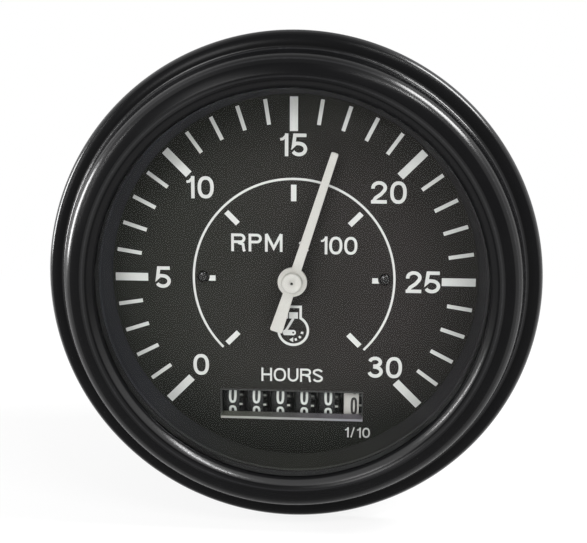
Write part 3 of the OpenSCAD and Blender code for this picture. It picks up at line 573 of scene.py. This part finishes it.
def sill_grey_and_painted_light(start):
    place = place_on(start)
    across, up, out = coordinates(place)
    # Painted highlights: the slope is painted a lighter grey and the front edge strip pale, for the
    # light the sill catches.
    slope = between(up, SLOPE_UP + BLUR, SLOPE_UP - BLUR)
    strip = between(up, STRIP_UP + BLUR, STRIP_UP - BLUR) * (out > STRIP_OUT)
    fade = between(across + noise(place, 4.0, 2.0) * 6.0, 16.0, -12.0)
    frame_grey = mix(noise(place, 3.0, 3.0), shade(46, 47, 45), shade(60, 60, 58))
    painted_lit_slope = mix(fade, shade(108, 104, 110), shade(86, 88, 78))
    painted_edge_highlight = mix(fade, shade(144, 142, 147), shade(172, 173, 165))
    return {
        "Base Color": mix(strip, mix(slope, frame_grey, painted_lit_slope), painted_edge_highlight),
        "Roughness": 0.45 + noise(place, 0.4, 2.0) * 0.15,
        "Normal": bump(noise(place, 0.4, 2.0), 0.008),
    }


finish("window_grey", sill_grey_and_painted_light)
print("window finish is ready")

# %% [markdown]
# ## Electronics
#
# Behind the dial sit a circuit board, wound coils and a few components. The board's green is a
# lacquer over copper tracks, so the tracks show as paler raised lines: cell borders measured with
# the Manhattan distance run in straight steps as tracks do. The coils are a few hundred turns of
# varnished wire, drawn as fine ridges.

# %% Board, wire and resistors
TRACKS, TURNS, STRIPES = 280.0, 800.0, 160.0


def board_lacquer(start):
    """A track runs where the second nearest point is hardly further than the nearest."""
    place = place_on(start)
    sockets = {"Vector": place, "Scale": TRACKS}
    second = place.node("TexVoronoi", {"distance": "MANHATTAN", "feature": "F2"}, sockets)
    first = place.node("TexVoronoi", {"distance": "MANHATTAN"}, sockets)
    track = between(second - first, 0.22, 0.12)
    return {
        "Base Color": mix(track, shade(30, 92, 50), shade(66, 132, 76)),
        "Roughness": 0.28 + track * 0.1 + noise(place, 2.0, 3.0) * 0.1,
        "Normal": bump(track, 0.03),
    }


def winding(start):
    place = place_on(start)
    sockets = {"Vector": place, "Scale": TURNS, "Distortion": 0.6}
    turns = place.node("TexWave", {"bands_direction": "Y"}, sockets)
    lumps = noise(place, 2.5, 3.0)
    return {
        "Base Color": mix(turns * 0.6 + lumps * 0.4, shade(104, 52, 24), shade(202, 122, 66)),
        "Metallic": 0.75,
        "Roughness": 0.26 + lumps * 0.15,
        "Normal": bump(turns, 0.05),
    }


def resistor_bands(start):
    place = place_on(start)
    settings = {"bands_direction": "Z", "wave_profile": "SAW"}
    ring = place.node("TexWave", settings, {"Vector": place, "Scale": STRIPES})
    tan = shade(190, 166, 118)
    stops = [(0.0, tan), (0.55, tan), (0.6, shade(120, 60, 36)), (1.0, shade(40, 36, 34))]
    return {
        "Base Color": ring.node("ValToRGB", {"stops": stops}, {0: ring}),
        "Roughness": 0.35 + noise(place, 0.5, 2.0) * 0.15,
        "Normal": bump(noise(place, 0.4), 0.01),
    }


finish("board_green", board_lacquer)
finish("copper_wire", winding)
finish("resistor_tan", resistor_bands)
print("electronics finishes are ready")

# %% [markdown]
# ## Glass
#
# The window glass has to let the lamps through to the dial and still shine. Glass that truly bends
# light would be right, but its shadow turns to noise in a soft studio. A Mix Shader of clear and
# mirror says the same with less work: its factor is what the surface mirrors, little head on and
# more at a slant, with a trace of wiping marks that dull the mirror.

# %% Clear and mirror mixed
def emptied(owner):
    """Clears the nodes of a material or a world, and returns a wire to start from."""
    owner.use_nodes = True
    owner.node_tree.nodes.clear()
    return Wire(owner.node_tree)


def glazed(name, index, tint, rough):
    """Mirrors the share that Fresnel's formula gives for that index; the rest passes, tinted."""
    material = bpy.data.materials.new(name)
    start = emptied(material)
    wiped = noise(place_on(start), 9.0, 4.0, stretch=(3.0, 1.0, 1.0))
    mirrored = start.node("Fresnel", sockets={"IOR": index})
    clear = start.node("BsdfTransparent", sockets={"Color": tint})
    dulled = {"Color": (1.0, 1.0, 1.0, 1.0), "Roughness": rough + wiped * 0.05}
    mirror = start.node("BsdfAnisotropic", sockets=dulled)
    both = start.node("MixShader", sockets={0: mirrored * (0.9 + wiped * 0.1), 1: clear, 2: mirror})
    start.node("OutputMaterial", sockets={"Surface": both})
    FINISH[name] = material


glazed("glass", index=1.14, tint=(0.985, 0.99, 0.99, 1.0), rough=0.03)
glazed("bulb_glass", index=1.45, tint=(0.95, 0.94, 0.9, 1.0), rough=0.05)
print("finishes in all:", len(FINISH))

# %% [markdown]
# ## Dress every CAD part
#
# Each part carries the name of its material slot from the record. Going through that list puts a
# finish on every part once, and a slot without a finish stops the script here rather than showing
# up later as a grey patch.

# %% Put the finishes on the frame
for node, part in frame["nodes"].items():
    for holder in part.material_slots:
        holder.material = FINISH[slot_of[node]]
print("dressed", len(frame["nodes"]), "parts in", len(set(slot_of.values())), "finishes")

# %% [markdown]
# ## Surfaces from arrays
#
# A turned ring, a screw thread and a digit are all grids of points with quads between neighbours.
# numpy works out the whole grid at once, and foreach_set hands it to the mesh in one go, where a
# loop over vertices would take seconds. Where a grid runs into a pole, its points fall together;
# merging them closes it, and the faces are then turned outward.

# %% Grids into meshes
SAME_POINT = 2e-6


def grid(points, around=True, closed=False):
    """Corners and quads of a grid. Quad (i, j) joins its four neighbours; around joins the last
    column to the first, closed the last row to the first."""
    rows, columns = points.shape[:2]
    number = np.arange(rows * columns).reshape(rows, columns)
    if closed:
        number = np.concatenate([number, number[:1]])
    if around:
        number = np.concatenate([number, number[:, :1]], axis=1)
    quads = np.stack([number[:-1, :-1], number[:-1, 1:], number[1:, 1:], number[1:, :-1]], axis=-1)
    return points.reshape(-1, 3), quads.reshape(-1, 4)


def joined(mesh, flat=0.0):
    """Merges points that lie together, drops lines between faces that are flat to so many
    degrees, and turns the faces out."""
    shape = bmesh.new()
    shape.from_mesh(mesh)
    bmesh.ops.remove_doubles(shape, verts=shape.verts, dist=SAME_POINT)
    if flat:
        limit = np.radians(flat)
        bmesh.ops.dissolve_limit(shape, angle_limit=limit, verts=shape.verts, edges=shape.edges)
    bmesh.ops.recalc_face_normals(shape, faces=shape.faces)
    shape.to_mesh(mesh)
    shape.free()


def settle(name, mesh, body, slot, finish_name=None, crease=30.0):
    """Smooth shading except at edges sharper than crease, a finish, and a ride on its body."""
    mesh.polygons.foreach_set("use_smooth", np.ones(len(mesh.polygons), bool))
    mesh.set_sharp_from_angle(angle=np.radians(crease))
    mesh.materials.clear()
    mesh.materials.append(FINISH[finish_name or slot])
    piece = bpy.data.objects.new(name, mesh)
    bpy.context.scene.collection.objects.link(piece)
    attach(piece, body)
    return piece


def surface(name, grids, node, finish_name=None, crease=30.0, replace=True):
    """One mesh from several grids, on the body of a CAD node, which it may stand in for."""
    starts = np.cumsum([0] + [len(g[0]) for g in grids[:-1]])
    points = np.concatenate([g[0] for g in grids]).astype(np.float32)
    quads = np.concatenate([g[1] + s for g, s in zip(grids, starts)]).astype(np.int32)
    mesh = bpy.data.meshes.new(name)
    mesh.vertices.add(len(points))
    mesh.vertices.foreach_set("co", points.ravel())
    mesh.loops.add(quads.size)
    mesh.loops.foreach_set("vertex_index", quads.ravel())
    mesh.polygons.add(len(quads))
    mesh.polygons.foreach_set("loop_start", np.arange(len(quads), dtype=np.int32) * 4)
    mesh.update(calc_edges=True)
    joined(mesh)
    piece = settle(name, mesh, body_of[node], slot_of[node], finish_name, crease)
    if replace:
        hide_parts(node)
    print(f"{name}: {len(mesh.polygons)} faces")


# %% [markdown]
# ## Rounded profiles and the lathe
#
# A pressed or turned edge is never sharp: it has a small radius, and that radius is what gives a
# highlight somewhere to sit. `rounded` trims every corner of a profile with a short curve, and
# `lathe` spins the profile round an axis. Blender's Spin tool does this too, but a formula keeps
# the seam closed and says how many steps there are.

# %% rounded() and lathe()
def rounded(corners, reach, steps=6):
    """Each corner P becomes the curve (1-s)^2 A + 2s(1-s) P + s^2 B, where A and B lie reach
    millimetres along its two edges, or 0.45 of an edge that is shorter."""
    corner = np.array(corners, float)
    reach = np.broadcast_to(reach, len(corner))[:, None]
    before, after = np.roll(corner, 1, 0) - corner, np.roll(corner, -1, 0) - corner
    to_before, to_after = (np.linalg.norm(v, axis=1, keepdims=True) for v in (before, after))
    first = corner + before / to_before * np.minimum(reach, 0.45 * to_before)
    last = corner + after / to_after * np.minimum(reach, 0.45 * to_after)
    s = np.linspace(0, 1, steps)[None, :, None]
    curve = (1 - s) ** 2 * first[:, None] + 2 * s * (1 - s) * corner[:, None] + s**2 * last[:, None]
    return curve.reshape(-1, 2)


def lathe(profile, steps=192, across=0.0, up=0.0, closed=True):
    """Profile point (r, out) goes to (across + r cos a, up + r sin a, out) for steps angles a."""
    r, out = np.array(profile, float).T[:, :, None]
    a = np.linspace(0, 2 * np.pi, steps, endpoint=False)[None, :]
    return grid(stand(across + r * np.cos(a), up + r * np.sin(a), out + 0 * a), closed=closed)


print("a rounded square has", len(rounded([[0, 0], [1, 0], [1, 1], [0, 1]], 0.2)), "points")

# %% [markdown]
# ## The bezel ring
#
# The bezel is one pressing: a flange that lies on the panel and curls round the case's lip, a tall
# step, a raised band, and a slope down to the glass. The CAD ring has the right size but few
# facets, and a black ring is all highlights, so its profile is spun again here in fine steps. The
# flange is gently domed, and the crest turns over in two soft corners, because a broad round shows
# a broad streak and a tight one only a thread.

# %% Spin the bezel
BEZEL = [
    ((38.1, 6.9), 0.1), ((38.1, 7.5), 0.3), ((39.2, 8.6), 0.6), ((40.55, 9.25), 0.6),
    ((43.0, 8.45), 1.1), ((44.35, 7.1), 1.2), ((45.35, 2.85), 0.9), ((46.9, 2.85), 0.7),
    ((48.3, 2.3), 0.6), ((49.0, 1.15), 0.5), ((49.0, 0.0), 0.4), ((44.5, 0.0), 0.2),
    ((44.5, 0.8), 0.1), ((48.1, 0.8), 0.2), ((48.1, 2.05), 0.5), ((44.6, 2.05), 0.3),
    ((43.3, 6.9), 0.2),
]
corners, reaches = zip(*BEZEL)
bezel = lathe(rounded(corners, reaches, steps=7), steps=288)
surface("bezel_skin", [bezel], "bezel_ring", crease=50)

# %% [markdown]
# ## The dial surround
#
# Between the glass and the dial lies a plain ring, seen as a dark band that runs in towards the
# dial. It only needs a smooth wall and a soft inner lip. Its foot rests on the dial, and its top
# reaches under the bezel, so nothing shows behind it.

# %% Spin the surround
SURROUND = [(36.9, -2.5), (40.5, -2.5), (40.5, 3.65), (37.9, 3.65), (37.1, -1.8)]
wall = lathe(rounded(SURROUND, 0.3, steps=5), steps=240)
surface("surround_skin", [wall], "dial_surround", crease=40)

# %% [markdown]
# ## The dial screws
#
# Two small screws hold the dial. Their black heads are domes, and a dome always finds the lamp: one
# bright dot near its top is what tells the eye that it is round. A sphere cut in half would stand
# too high, so the head is a flattened dome spun with its own shank.

# %% Spin the screws
SCREWS, SCREWS_UP = [-18.4, 18.4], 0.3
DOME_R, DOME_RIM, DOME_RISE = 1.2, -2.35, 0.65
fall = np.linspace(0, np.pi / 2, 12)
dome = np.stack([DOME_R * np.sin(fall), DOME_RIM + DOME_RISE * np.cos(fall)], axis=1)
shank = np.array([[DOME_R, -2.5], [0.7, -2.5], [0.7, -8.4], [0.0, -8.4]])
outline = np.concatenate([dome, shank])
heads = [lathe(outline, steps=48, across=x, up=SCREWS_UP, closed=False) for x in SCREWS]
surface("dial_screw_domes", heads, "dial_screws", crease=40)

# %% [markdown]
# ## Finer copies of CAD parts
#
# Most parts are right as they are, but their meshes are loose triangles with flat shading. A copy
# with its points merged can be shaded smooth, and on stamped or moulded parts a Bevel modifier
# breaks the edges by a tenth of a millimetre, as a press or a mould does. On the others a Weighted
# Normal modifier keeps a large flat from leaning towards the small round beside it, which would
# show as a long dark wedge. The CAD part is never touched: the copy stands in for it.

# %% Copy, merge, smooth and bevel
def finer(node, edge=0.0, crease=30.0):
    """A joined, smooth copy of a CAD node, its sharp edges rounded by edge millimetres."""
    mesh = frame["nodes"][node].data.copy()
    joined(mesh, 1.0 if edge else 0.0)
    piece = settle(node + "_fine", mesh, body_of[node], slot_of[node], crease=crease)
    if edge:
        bevel = piece.modifiers.new("broken_edges", "BEVEL")
        bevel.width, bevel.segments = edge * MM, 2
        bevel.limit_method, bevel.angle_limit = "ANGLE", np.radians(crease)
        bevel.harden_normals = True
    else:
        flats = piece.modifiers.new("flats_stay_flat", "WEIGHTED_NORMAL")
        flats.keep_sharp = True
    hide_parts(node)


SMOOTHED = ["case_shell", "pointer_hub", "trimmer_plug", "lamp_bulb", "glass_gasket"]
EDGES = {"pointer_blade": 0.1, "window_frame": 0.05, "clamp_bracket": 0.25, "lamp_holder": 0.35}
for node in SMOOTHED + [name for name in frame["nodes"] if name.startswith("wheel_")]:
    finer(node)
for node, edge in EDGES.items():
    finer(node, edge)
print("finer copies are in place")

# %% [markdown]
# ## Threads
#
# The studs behind the case are threaded rods. A thread could be a swept triangle, which needs a
# union with the rod. As a height field it is one formula: the radius falls and rises once each time
# the height grows by one pitch, and the angle shifts that pattern once round per turn, so the
# grooves climb as a helix and meet themselves at the seam. A 45 degree chamfer leads in the nut.

# %% thread()
def thread(across, up, r, pitch, low, high, groove=0.6, steps=40):
    """Radius = r - groove * pitch * w, with w = |2 frac(h / pitch - a / 360) - 1|, and no more
    than the chamfer at either end."""
    a = np.linspace(0, 2 * np.pi, steps, endpoint=False)[None, :]
    h = np.linspace(low, high, int((high - low) / pitch * 6) + 1)[:, None]
    wave = np.abs(2 * ((h / pitch - a / (2 * np.pi)) % 1) - 1)
    inner = r - groove * pitch
    radius = np.minimum(r - groove * pitch * wave, inner + 0.1 + np.minimum(h - low, high - h))
    radius = np.concatenate([0 * a, radius, 0 * a])
    h = np.concatenate([h[:1], h, h[-1:]])
    return grid(stand(across + radius * np.cos(a), up + radius * np.sin(a), h + 0 * a))


def nut(across, up, flats, bore, low, high, steps=72):
    """A chamfered hexagon: at angle a its edge lies at flats / 2 / cos(a mod 60 - 30), and
    outside the circle of 0.97 flats / 2 its two faces fall away by tan 30."""
    a = np.linspace(0, 2 * np.pi, steps, endpoint=False)
    edge = flats / 2 / np.cos(a % (np.pi / 3) - np.pi / 6)
    face = np.full_like(edge, 0.485 * flats)
    fall = (edge - face) * np.tan(np.pi / 6)
    lead = min(0.3, bore)
    hole, mouth = np.full_like(edge, bore), np.full_like(edge, bore + lead)
    r = np.stack([hole, mouth, face, edge, edge, face, mouth, hole])
    level = 0 * edge
    out = [high - lead, high, high, high - fall, low + fall, low, low, low + lead]
    out = np.stack([level + o for o in out])
    return grid(stand(across + r * np.cos(a), up + r * np.sin(a), out), closed=True)


print("thread() and nut() are ready")

# %% [markdown]
# ## Mounting studs and their nuts
#
# Two long steel studs carry the clamp, each held in the case back by a thin nut, with a washer and
# a full nut behind the clamp strip. The nuts and washers are the loose ends that an eye checks for
# size, so they keep the CAD's places and gain the chamfers that every real nut has.

# %% Studs, thin nuts, washers and clamp nuts
STUDS = [-25.0, 25.0]
STUD_R, STUD_PITCH, STUD_FLATS, STUD_BORE = 2.5, 0.8, 8.0, 2.55
studs = []
for x in STUDS:
    studs.append(thread(x, 0.0, STUD_R, STUD_PITCH, low=-88.0, high=-58.0))
    studs.append(nut(x, 0.0, STUD_FLATS, bore=0.0, low=-58.0, high=-56.2))
thin = [nut(x, 0.0, STUD_FLATS, STUD_BORE, low=-62.0, high=-60.0) for x in STUDS]
thick = [nut(x, 0.0, STUD_FLATS, STUD_BORE, low=-71.0, high=-67.0) for x in STUDS]
WASHER = rounded([[2.62, -67.0], [5.0, -67.0], [5.0, -66.0], [2.62, -66.0]], 0.15, steps=4)
surface("stud_threads", studs, "mounting_studs")
surface("thin_nuts", thin, "stud_nuts")
surface("thick_nuts", thick, "clamp_nuts")
surface("plain_washers", [lathe(WASHER, steps=72, across=x) for x in STUDS], "clamp_washers")

# %% [markdown]
# ## Terminals
#
# Four brass screws stand in a row below the centre, where the wires go on. Each has a plain neck in
# the case back, a washer, a nut and a threaded end. The neck and the head inside are part of the
# same turning, so they are added to the thread's mesh.

# %% Terminal screws, washers and nuts
TERMINALS = [-15.0, -5.0, 5.0, 15.0]
ROW_UP = -22.0
TERMINAL_R, TERMINAL_PITCH = 2.0, 0.7
NECK = [[0.0, -64.2], [2.4, -64.2], [2.4, -57.5], [0.0, -57.5]]
screws = []
for x in TERMINALS:
    screws.append(thread(x, ROW_UP, TERMINAL_R, TERMINAL_PITCH, low=-76.0, high=-64.1))
    screws.append(nut(x, ROW_UP, flats=6.4, bore=0.0, low=-57.5, high=-55.7))
    screws.append(lathe(NECK, steps=48, across=x, up=ROW_UP, closed=False))
RING = rounded([[2.45, -60.8], [4.0, -60.8], [4.0, -60.0], [2.45, -60.0]], 0.15, steps=4)
rings = [lathe(RING, steps=64, across=x, up=ROW_UP) for x in TERMINALS]
nuts = [nut(x, ROW_UP, flats=7.0, bore=2.45, low=-63.6, high=-60.8) for x in TERMINALS]
surface("terminal_threads", screws, "terminal_studs")
surface("terminal_rings", rings, "terminal_washers")
surface("brass_nuts", nuts, "terminal_nuts")

# %% [markdown]
# ## The digits
#
# The counter's digits are narrow, made of one even pen stroke, and pressed on the curved bands. A
# font would bring its own style and a curve to bend. Here each digit is a few strokes through
# points in a unit square, smoothed by a spline, given a width, and wrapped round the drum. The
# figures stand for 0 to 9 and nothing else.

# %% Strokes of the ten digits
def spline(points, steps=7):
    """The Catmull-Rom curve, between P1 and P2: 0.5 (2 P1 + (P2 - P0) t
    + (2 P0 - 5 P1 + 4 P2 - P3) t^2 + (3 P1 - P0 - 3 P2 + P3) t^3). A point is added past either
    end, in line with the last two."""
    p = np.array(points, float)
    p = np.concatenate([2 * p[:1] - p[1:2], p, 2 * p[-1:] - p[-2:-1]])
    p0, p1, p2, p3 = (p[i : len(p) - 3 + i, None] for i in range(4))
    t = np.linspace(0, 1, steps, endpoint=False)[None, :, None]
    bend, twist = 2 * p0 - 5 * p1 + 4 * p2 - p3, 3 * p1 - p0 - 3 * p2 + p3
    curve = 0.5 * (2 * p1 + (p2 - p0) * t + bend * t**2 + twist * t**3)
    return np.concatenate([curve.reshape(-1, 2), p2[-1]])


def ring(up, wide, high, steps=28):
    """A rounded oblong: (wide * c, up + high * s), where c and s are cosine and sine to the 0.7."""
    a = np.linspace(0, 2 * np.pi, steps, endpoint=False)
    c, s = (np.sign(v) * np.abs(v) ** 0.7 for v in (np.cos(a), np.sin(a)))
    return np.stack([wide * c, up + high * s], axis=1)


SWAN = [
    [-1, 0.55], [-0.7, 0.92], [0, 1], [0.75, 0.9],
    [1, 0.45], [0.5, -0.15], [-0.5, -0.65], [-0.95, -1],
]
BOWL = [
    [-0.8, 0.15], [-0.2, 0.28], [0.5, 0.2], [1, -0.25],
    [0.85, -0.75], [0, -1], [-0.75, -0.9], [-1, -0.6],
]
BOWS = [
    [[-0.95, 0.7], [-0.5, 0.98], [0.3, 0.98], [0.9, 0.7], [0.7, 0.2], [-0.1, 0.05]],
    [[-0.1, 0.05], [0.75, -0.1], [1, -0.5], [0.7, -0.92], [0, -1], [-0.7, -0.92], [-1, -0.6]],
]
HOOK = [[0.95, 0.65], [0.6, 0.95], [0, 1], [-0.75, 0.8], [-1, 0.2], [-1, -0.3]]
DIGITS = {
    0: [("loop", ring(0, 1, 1))],
    1: [("line", [[0.3, -1], [0.3, 1]]), ("line", [[-0.6, 0.55], [0.3, 0.95]])],
    2: [("curve", SWAN), ("line", [[-1, -1], [1, -1]])],
    3: [("curve", BOWS[0]), ("curve", BOWS[1])],
    4: [("line", [[0.45, -1], [0.45, 1]]), ("line", [[0.35, 0.95], [-1, -0.4]]),
        ("line", [[-1, -0.4], [1, -0.4]])],
    5: [("line", [[0.85, 1], [-0.8, 1]]), ("line", [[-0.8, 1], [-0.8, 0.15]]), ("curve", BOWL)],
    6: [("loop", ring(-0.38, 1, 0.62)), ("curve", HOOK)],
    7: [("line", [[-1, 1], [1, 1]]), ("curve", [[0.95, 1], [0.4, 0.3], [0, -0.3], [-0.2, -1]])],
    8: [("loop", ring(0.5, 0.85, 0.5)), ("loop", ring(-0.45, 1, 0.55))],
    9: [("loop", ring(0.38, 1, 0.62)), ("curve", [[-x, -y] for x, y in HOOK])],
}
print("strokes:", sum(len(strokes) for strokes in DIGITS.values()))

# %% [markdown]
# ## Wrapping a stroke on a drum
#
# A stroke becomes a strip with four edges: left and right of the pen, at the drum's face and a hair
# above it. Across the wheel the strip keeps its place, and up the digit becomes an angle round the
# axle, so the figure keeps its height on the curve. Counting up brings the next figure down from
# above, so figure n sits 36 degrees times n above the first.

# %% One figure on one wheel
INK, SUNK, PEN = 0.03, 0.05, 0.5
FIGURE_STEP = 36.0


def strip(path, closed, size, middle, angle):
    """Sides of the path at plus and minus half a pen along its normal. A point (u, v) then goes to
    across = middle + u, and to the angle plus v / R round the axle, sunk a little under radius R
    or standing the ink's height above it."""
    line = np.array(path, float) * (np.array(size) - PEN) / 2
    ahead = np.roll(line, -1, 0) - np.roll(line, 1, 0)
    if not closed:
        ahead[0], ahead[-1] = line[1] - line[0], line[-1] - line[-2]
    normal = np.stack([-ahead[:, 1], ahead[:, 0]], 1) / np.linalg.norm(ahead, axis=1, keepdims=True)
    sides = np.stack([line + normal * PEN / 2, line - normal * PEN / 2])
    u, v = sides[[0, 1, 1, 0], :, 0].T, sides[[0, 1, 1, 0], :, 1].T
    r = WHEEL_R + np.array([[-SUNK, -SUNK, INK, INK]])
    turned = angle + v / WHEEL_R
    points = stand(middle + u, AXLE_UP + r * np.sin(turned), AXLE_OUT + r * np.cos(turned))
    if not closed:
        ends = points.mean(axis=1, keepdims=True)[[0, -1]].repeat(4, 1)
        points = np.concatenate([ends[:1], points, ends[1:]])
    return grid(points, closed=closed)


def figures(middle, size, lag):
    """All ten figures of a wheel, figure n at lag + 36 n degrees above the front."""
    grids = []
    for figure, strokes in DIGITS.items():
        for kind, path in strokes:
            line = spline(path) if kind == "curve" else np.array(path, float)
            angle = np.radians(lag + FIGURE_STEP * figure)
            grids.append(strip(line, kind == "loop", size, middle, angle))
    return grids


DARK = ["wheel_units", "wheel_tens", "wheel_hundreds", "wheel_thousands", "wheel_ten_thousands"]
DARK_SHIFT, DARK_FIGURE, DARK_LAG = -0.3, (1.62, 3.6), 14.4
TENTHS_SHIFT, TENTHS_FIGURE, TENTHS_LAG = 0.03, (1.38, 3.75), -1.5
for node, across in zip(DARK, WHEEL_AT[1:]):
    dark = figures(across + DARK_SHIFT, DARK_FIGURE, DARK_LAG)
    surface(node + "_digits", dark, node, "digit_white", replace=False)
tenths = figures(WHEEL_AT[0] + TENTHS_SHIFT, TENTHS_FIGURE, TENTHS_LAG)
surface("wheel_tenths_digits", tenths, "wheel_tenths", "digit_black", replace=False)

# %% [markdown]
# ## Floor and world
#
# A catalogue picture has a white ground that shows no edge. The floor and the world show white to
# the camera, to mirrors and through glass, and light the object at a plain level, so a colour comes
# out about as it is written. Close to the object a share of the floor is plain lit paper, which is
# what keeps its soft shadow; further out that share fades, so the floor meets the world unseen.

# %% World and floor
AMBIENT = 0.42
SHADOW, SHADOW_FADES = 0.16, (0.09, 0.3)
FLOOR_REACH, FLOOR_DROP = 3.0, 0.0002

scene = bpy.context.scene
world = bpy.data.worlds.new("studio")
scene.world = world


def seen(start):
    """1 for rays from the camera, from a mirror or through glass, 0 for those that light things."""
    kinds = ("Is Camera Ray", "Is Glossy Ray", "Is Transmission Ray")
    rays = [start.node("LightPath", out=kind) for kind in kinds]
    return start.maths("MINIMUM", rays[0] + rays[1] + rays[2], 1.0)


sky = emptied(world)
strength = AMBIENT + seen(sky) * (1.0 - AMBIENT)
shown = sky.node("Background", sockets={"Color": (1, 1, 1, 1), "Strength": strength})
sky.node("OutputWorld", sockets={"Surface": shown})

paper = bpy.data.materials.new("floor_paper")
start = emptied(paper)
away = start.node("VectorMath", {"operation": "LENGTH"}, {0: place_on(start)}, out="Value")
paper_share = (1.0 - between(away, *SHADOW_FADES)) * SHADOW
lit = start.node("BsdfDiffuse", sockets={"Color": (0.9, 0.9, 0.9, 1)})
white = start.node("Emission", sockets={"Color": (1, 1, 1, 1)})
shown = start.node("MixShader", sockets={0: seen(start) * (1.0 - paper_share), 1: lit, 2: white})
start.node("OutputMaterial", sockets={"Surface": shown})

low = cad_box[0].z - FLOOR_DROP
reach = np.linspace(-FLOOR_REACH, FLOOR_REACH, 9)
spots = np.stack(np.broadcast_arrays(reach[None, :], reach[:, None], low), axis=-1)
points, quads = grid(spots, around=False)
mesh = bpy.data.meshes.new("floor")
mesh.from_pydata(points.tolist(), [], quads.tolist())
mesh.materials.append(paper)
floor = bpy.data.objects.new("floor", mesh)
scene.collection.objects.link(floor)
floor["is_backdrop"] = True
print("the floor lies at", round(low * 1000, 2), "mm")

# %% [markdown]
# ## Lamps
#
# The ridges need lamps to answer to, and a mirror's rule says where to put them: halfway between
# the lamp and the camera lies the slope that shines. One box in front, a little up and to the left,
# lights the dial and throws the pointer's shadow to its right. The other four draw the streaks: two
# in the dial's own plane, high on the right and far out on the left, which the dial doesn't see, a
# narrow one high on the right for the arc low on the left, and a tall one on the left for the short
# arc low on the right.

# %% Five softboxes
def softbox(name, place, size, watts):
    """A rectangular lamp, place and size in metres, turned to face the gauge."""
    light = bpy.data.lights.new(name, "AREA")
    light.shape, light.size, light.size_y = "RECTANGLE", size[0], size[1]
    light.energy = watts
    lamp = bpy.data.objects.new(name, light)
    lamp.location = place
    lamp.rotation_euler = (Vector((0, 0, 0)) - Vector(place)).to_track_quat("-Z", "Y").to_euler()
    scene.collection.objects.link(lamp)


softbox("front_left", (-0.3, -0.8, 0.4), (0.24, 0.24), 2.7)
softbox("high_right", (0.3, -0.41, 0.546), (0.36, 0.03), 1.9)
softbox("low_left", (-0.6, -0.33, 0.2), (0.04, 0.3), 1.2)
softbox("edge_right", (0.46, 0.035, 0.525), (0.2, 0.3), 6.8)
softbox("edge_left", (-0.69, 0.04, 0.1), (0.16, 0.28), 5.0)

# %% [markdown]
# ## Check the size
#
# Looks must not change the measured object.

# %% Sizes
visual_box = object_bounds()
gap = max(abs(a - b) for one, other in zip(cad_box, visual_box) for a, b in zip(one, other))
print("largest difference between the boxes:", round(gap * 1000, 2), "mm")
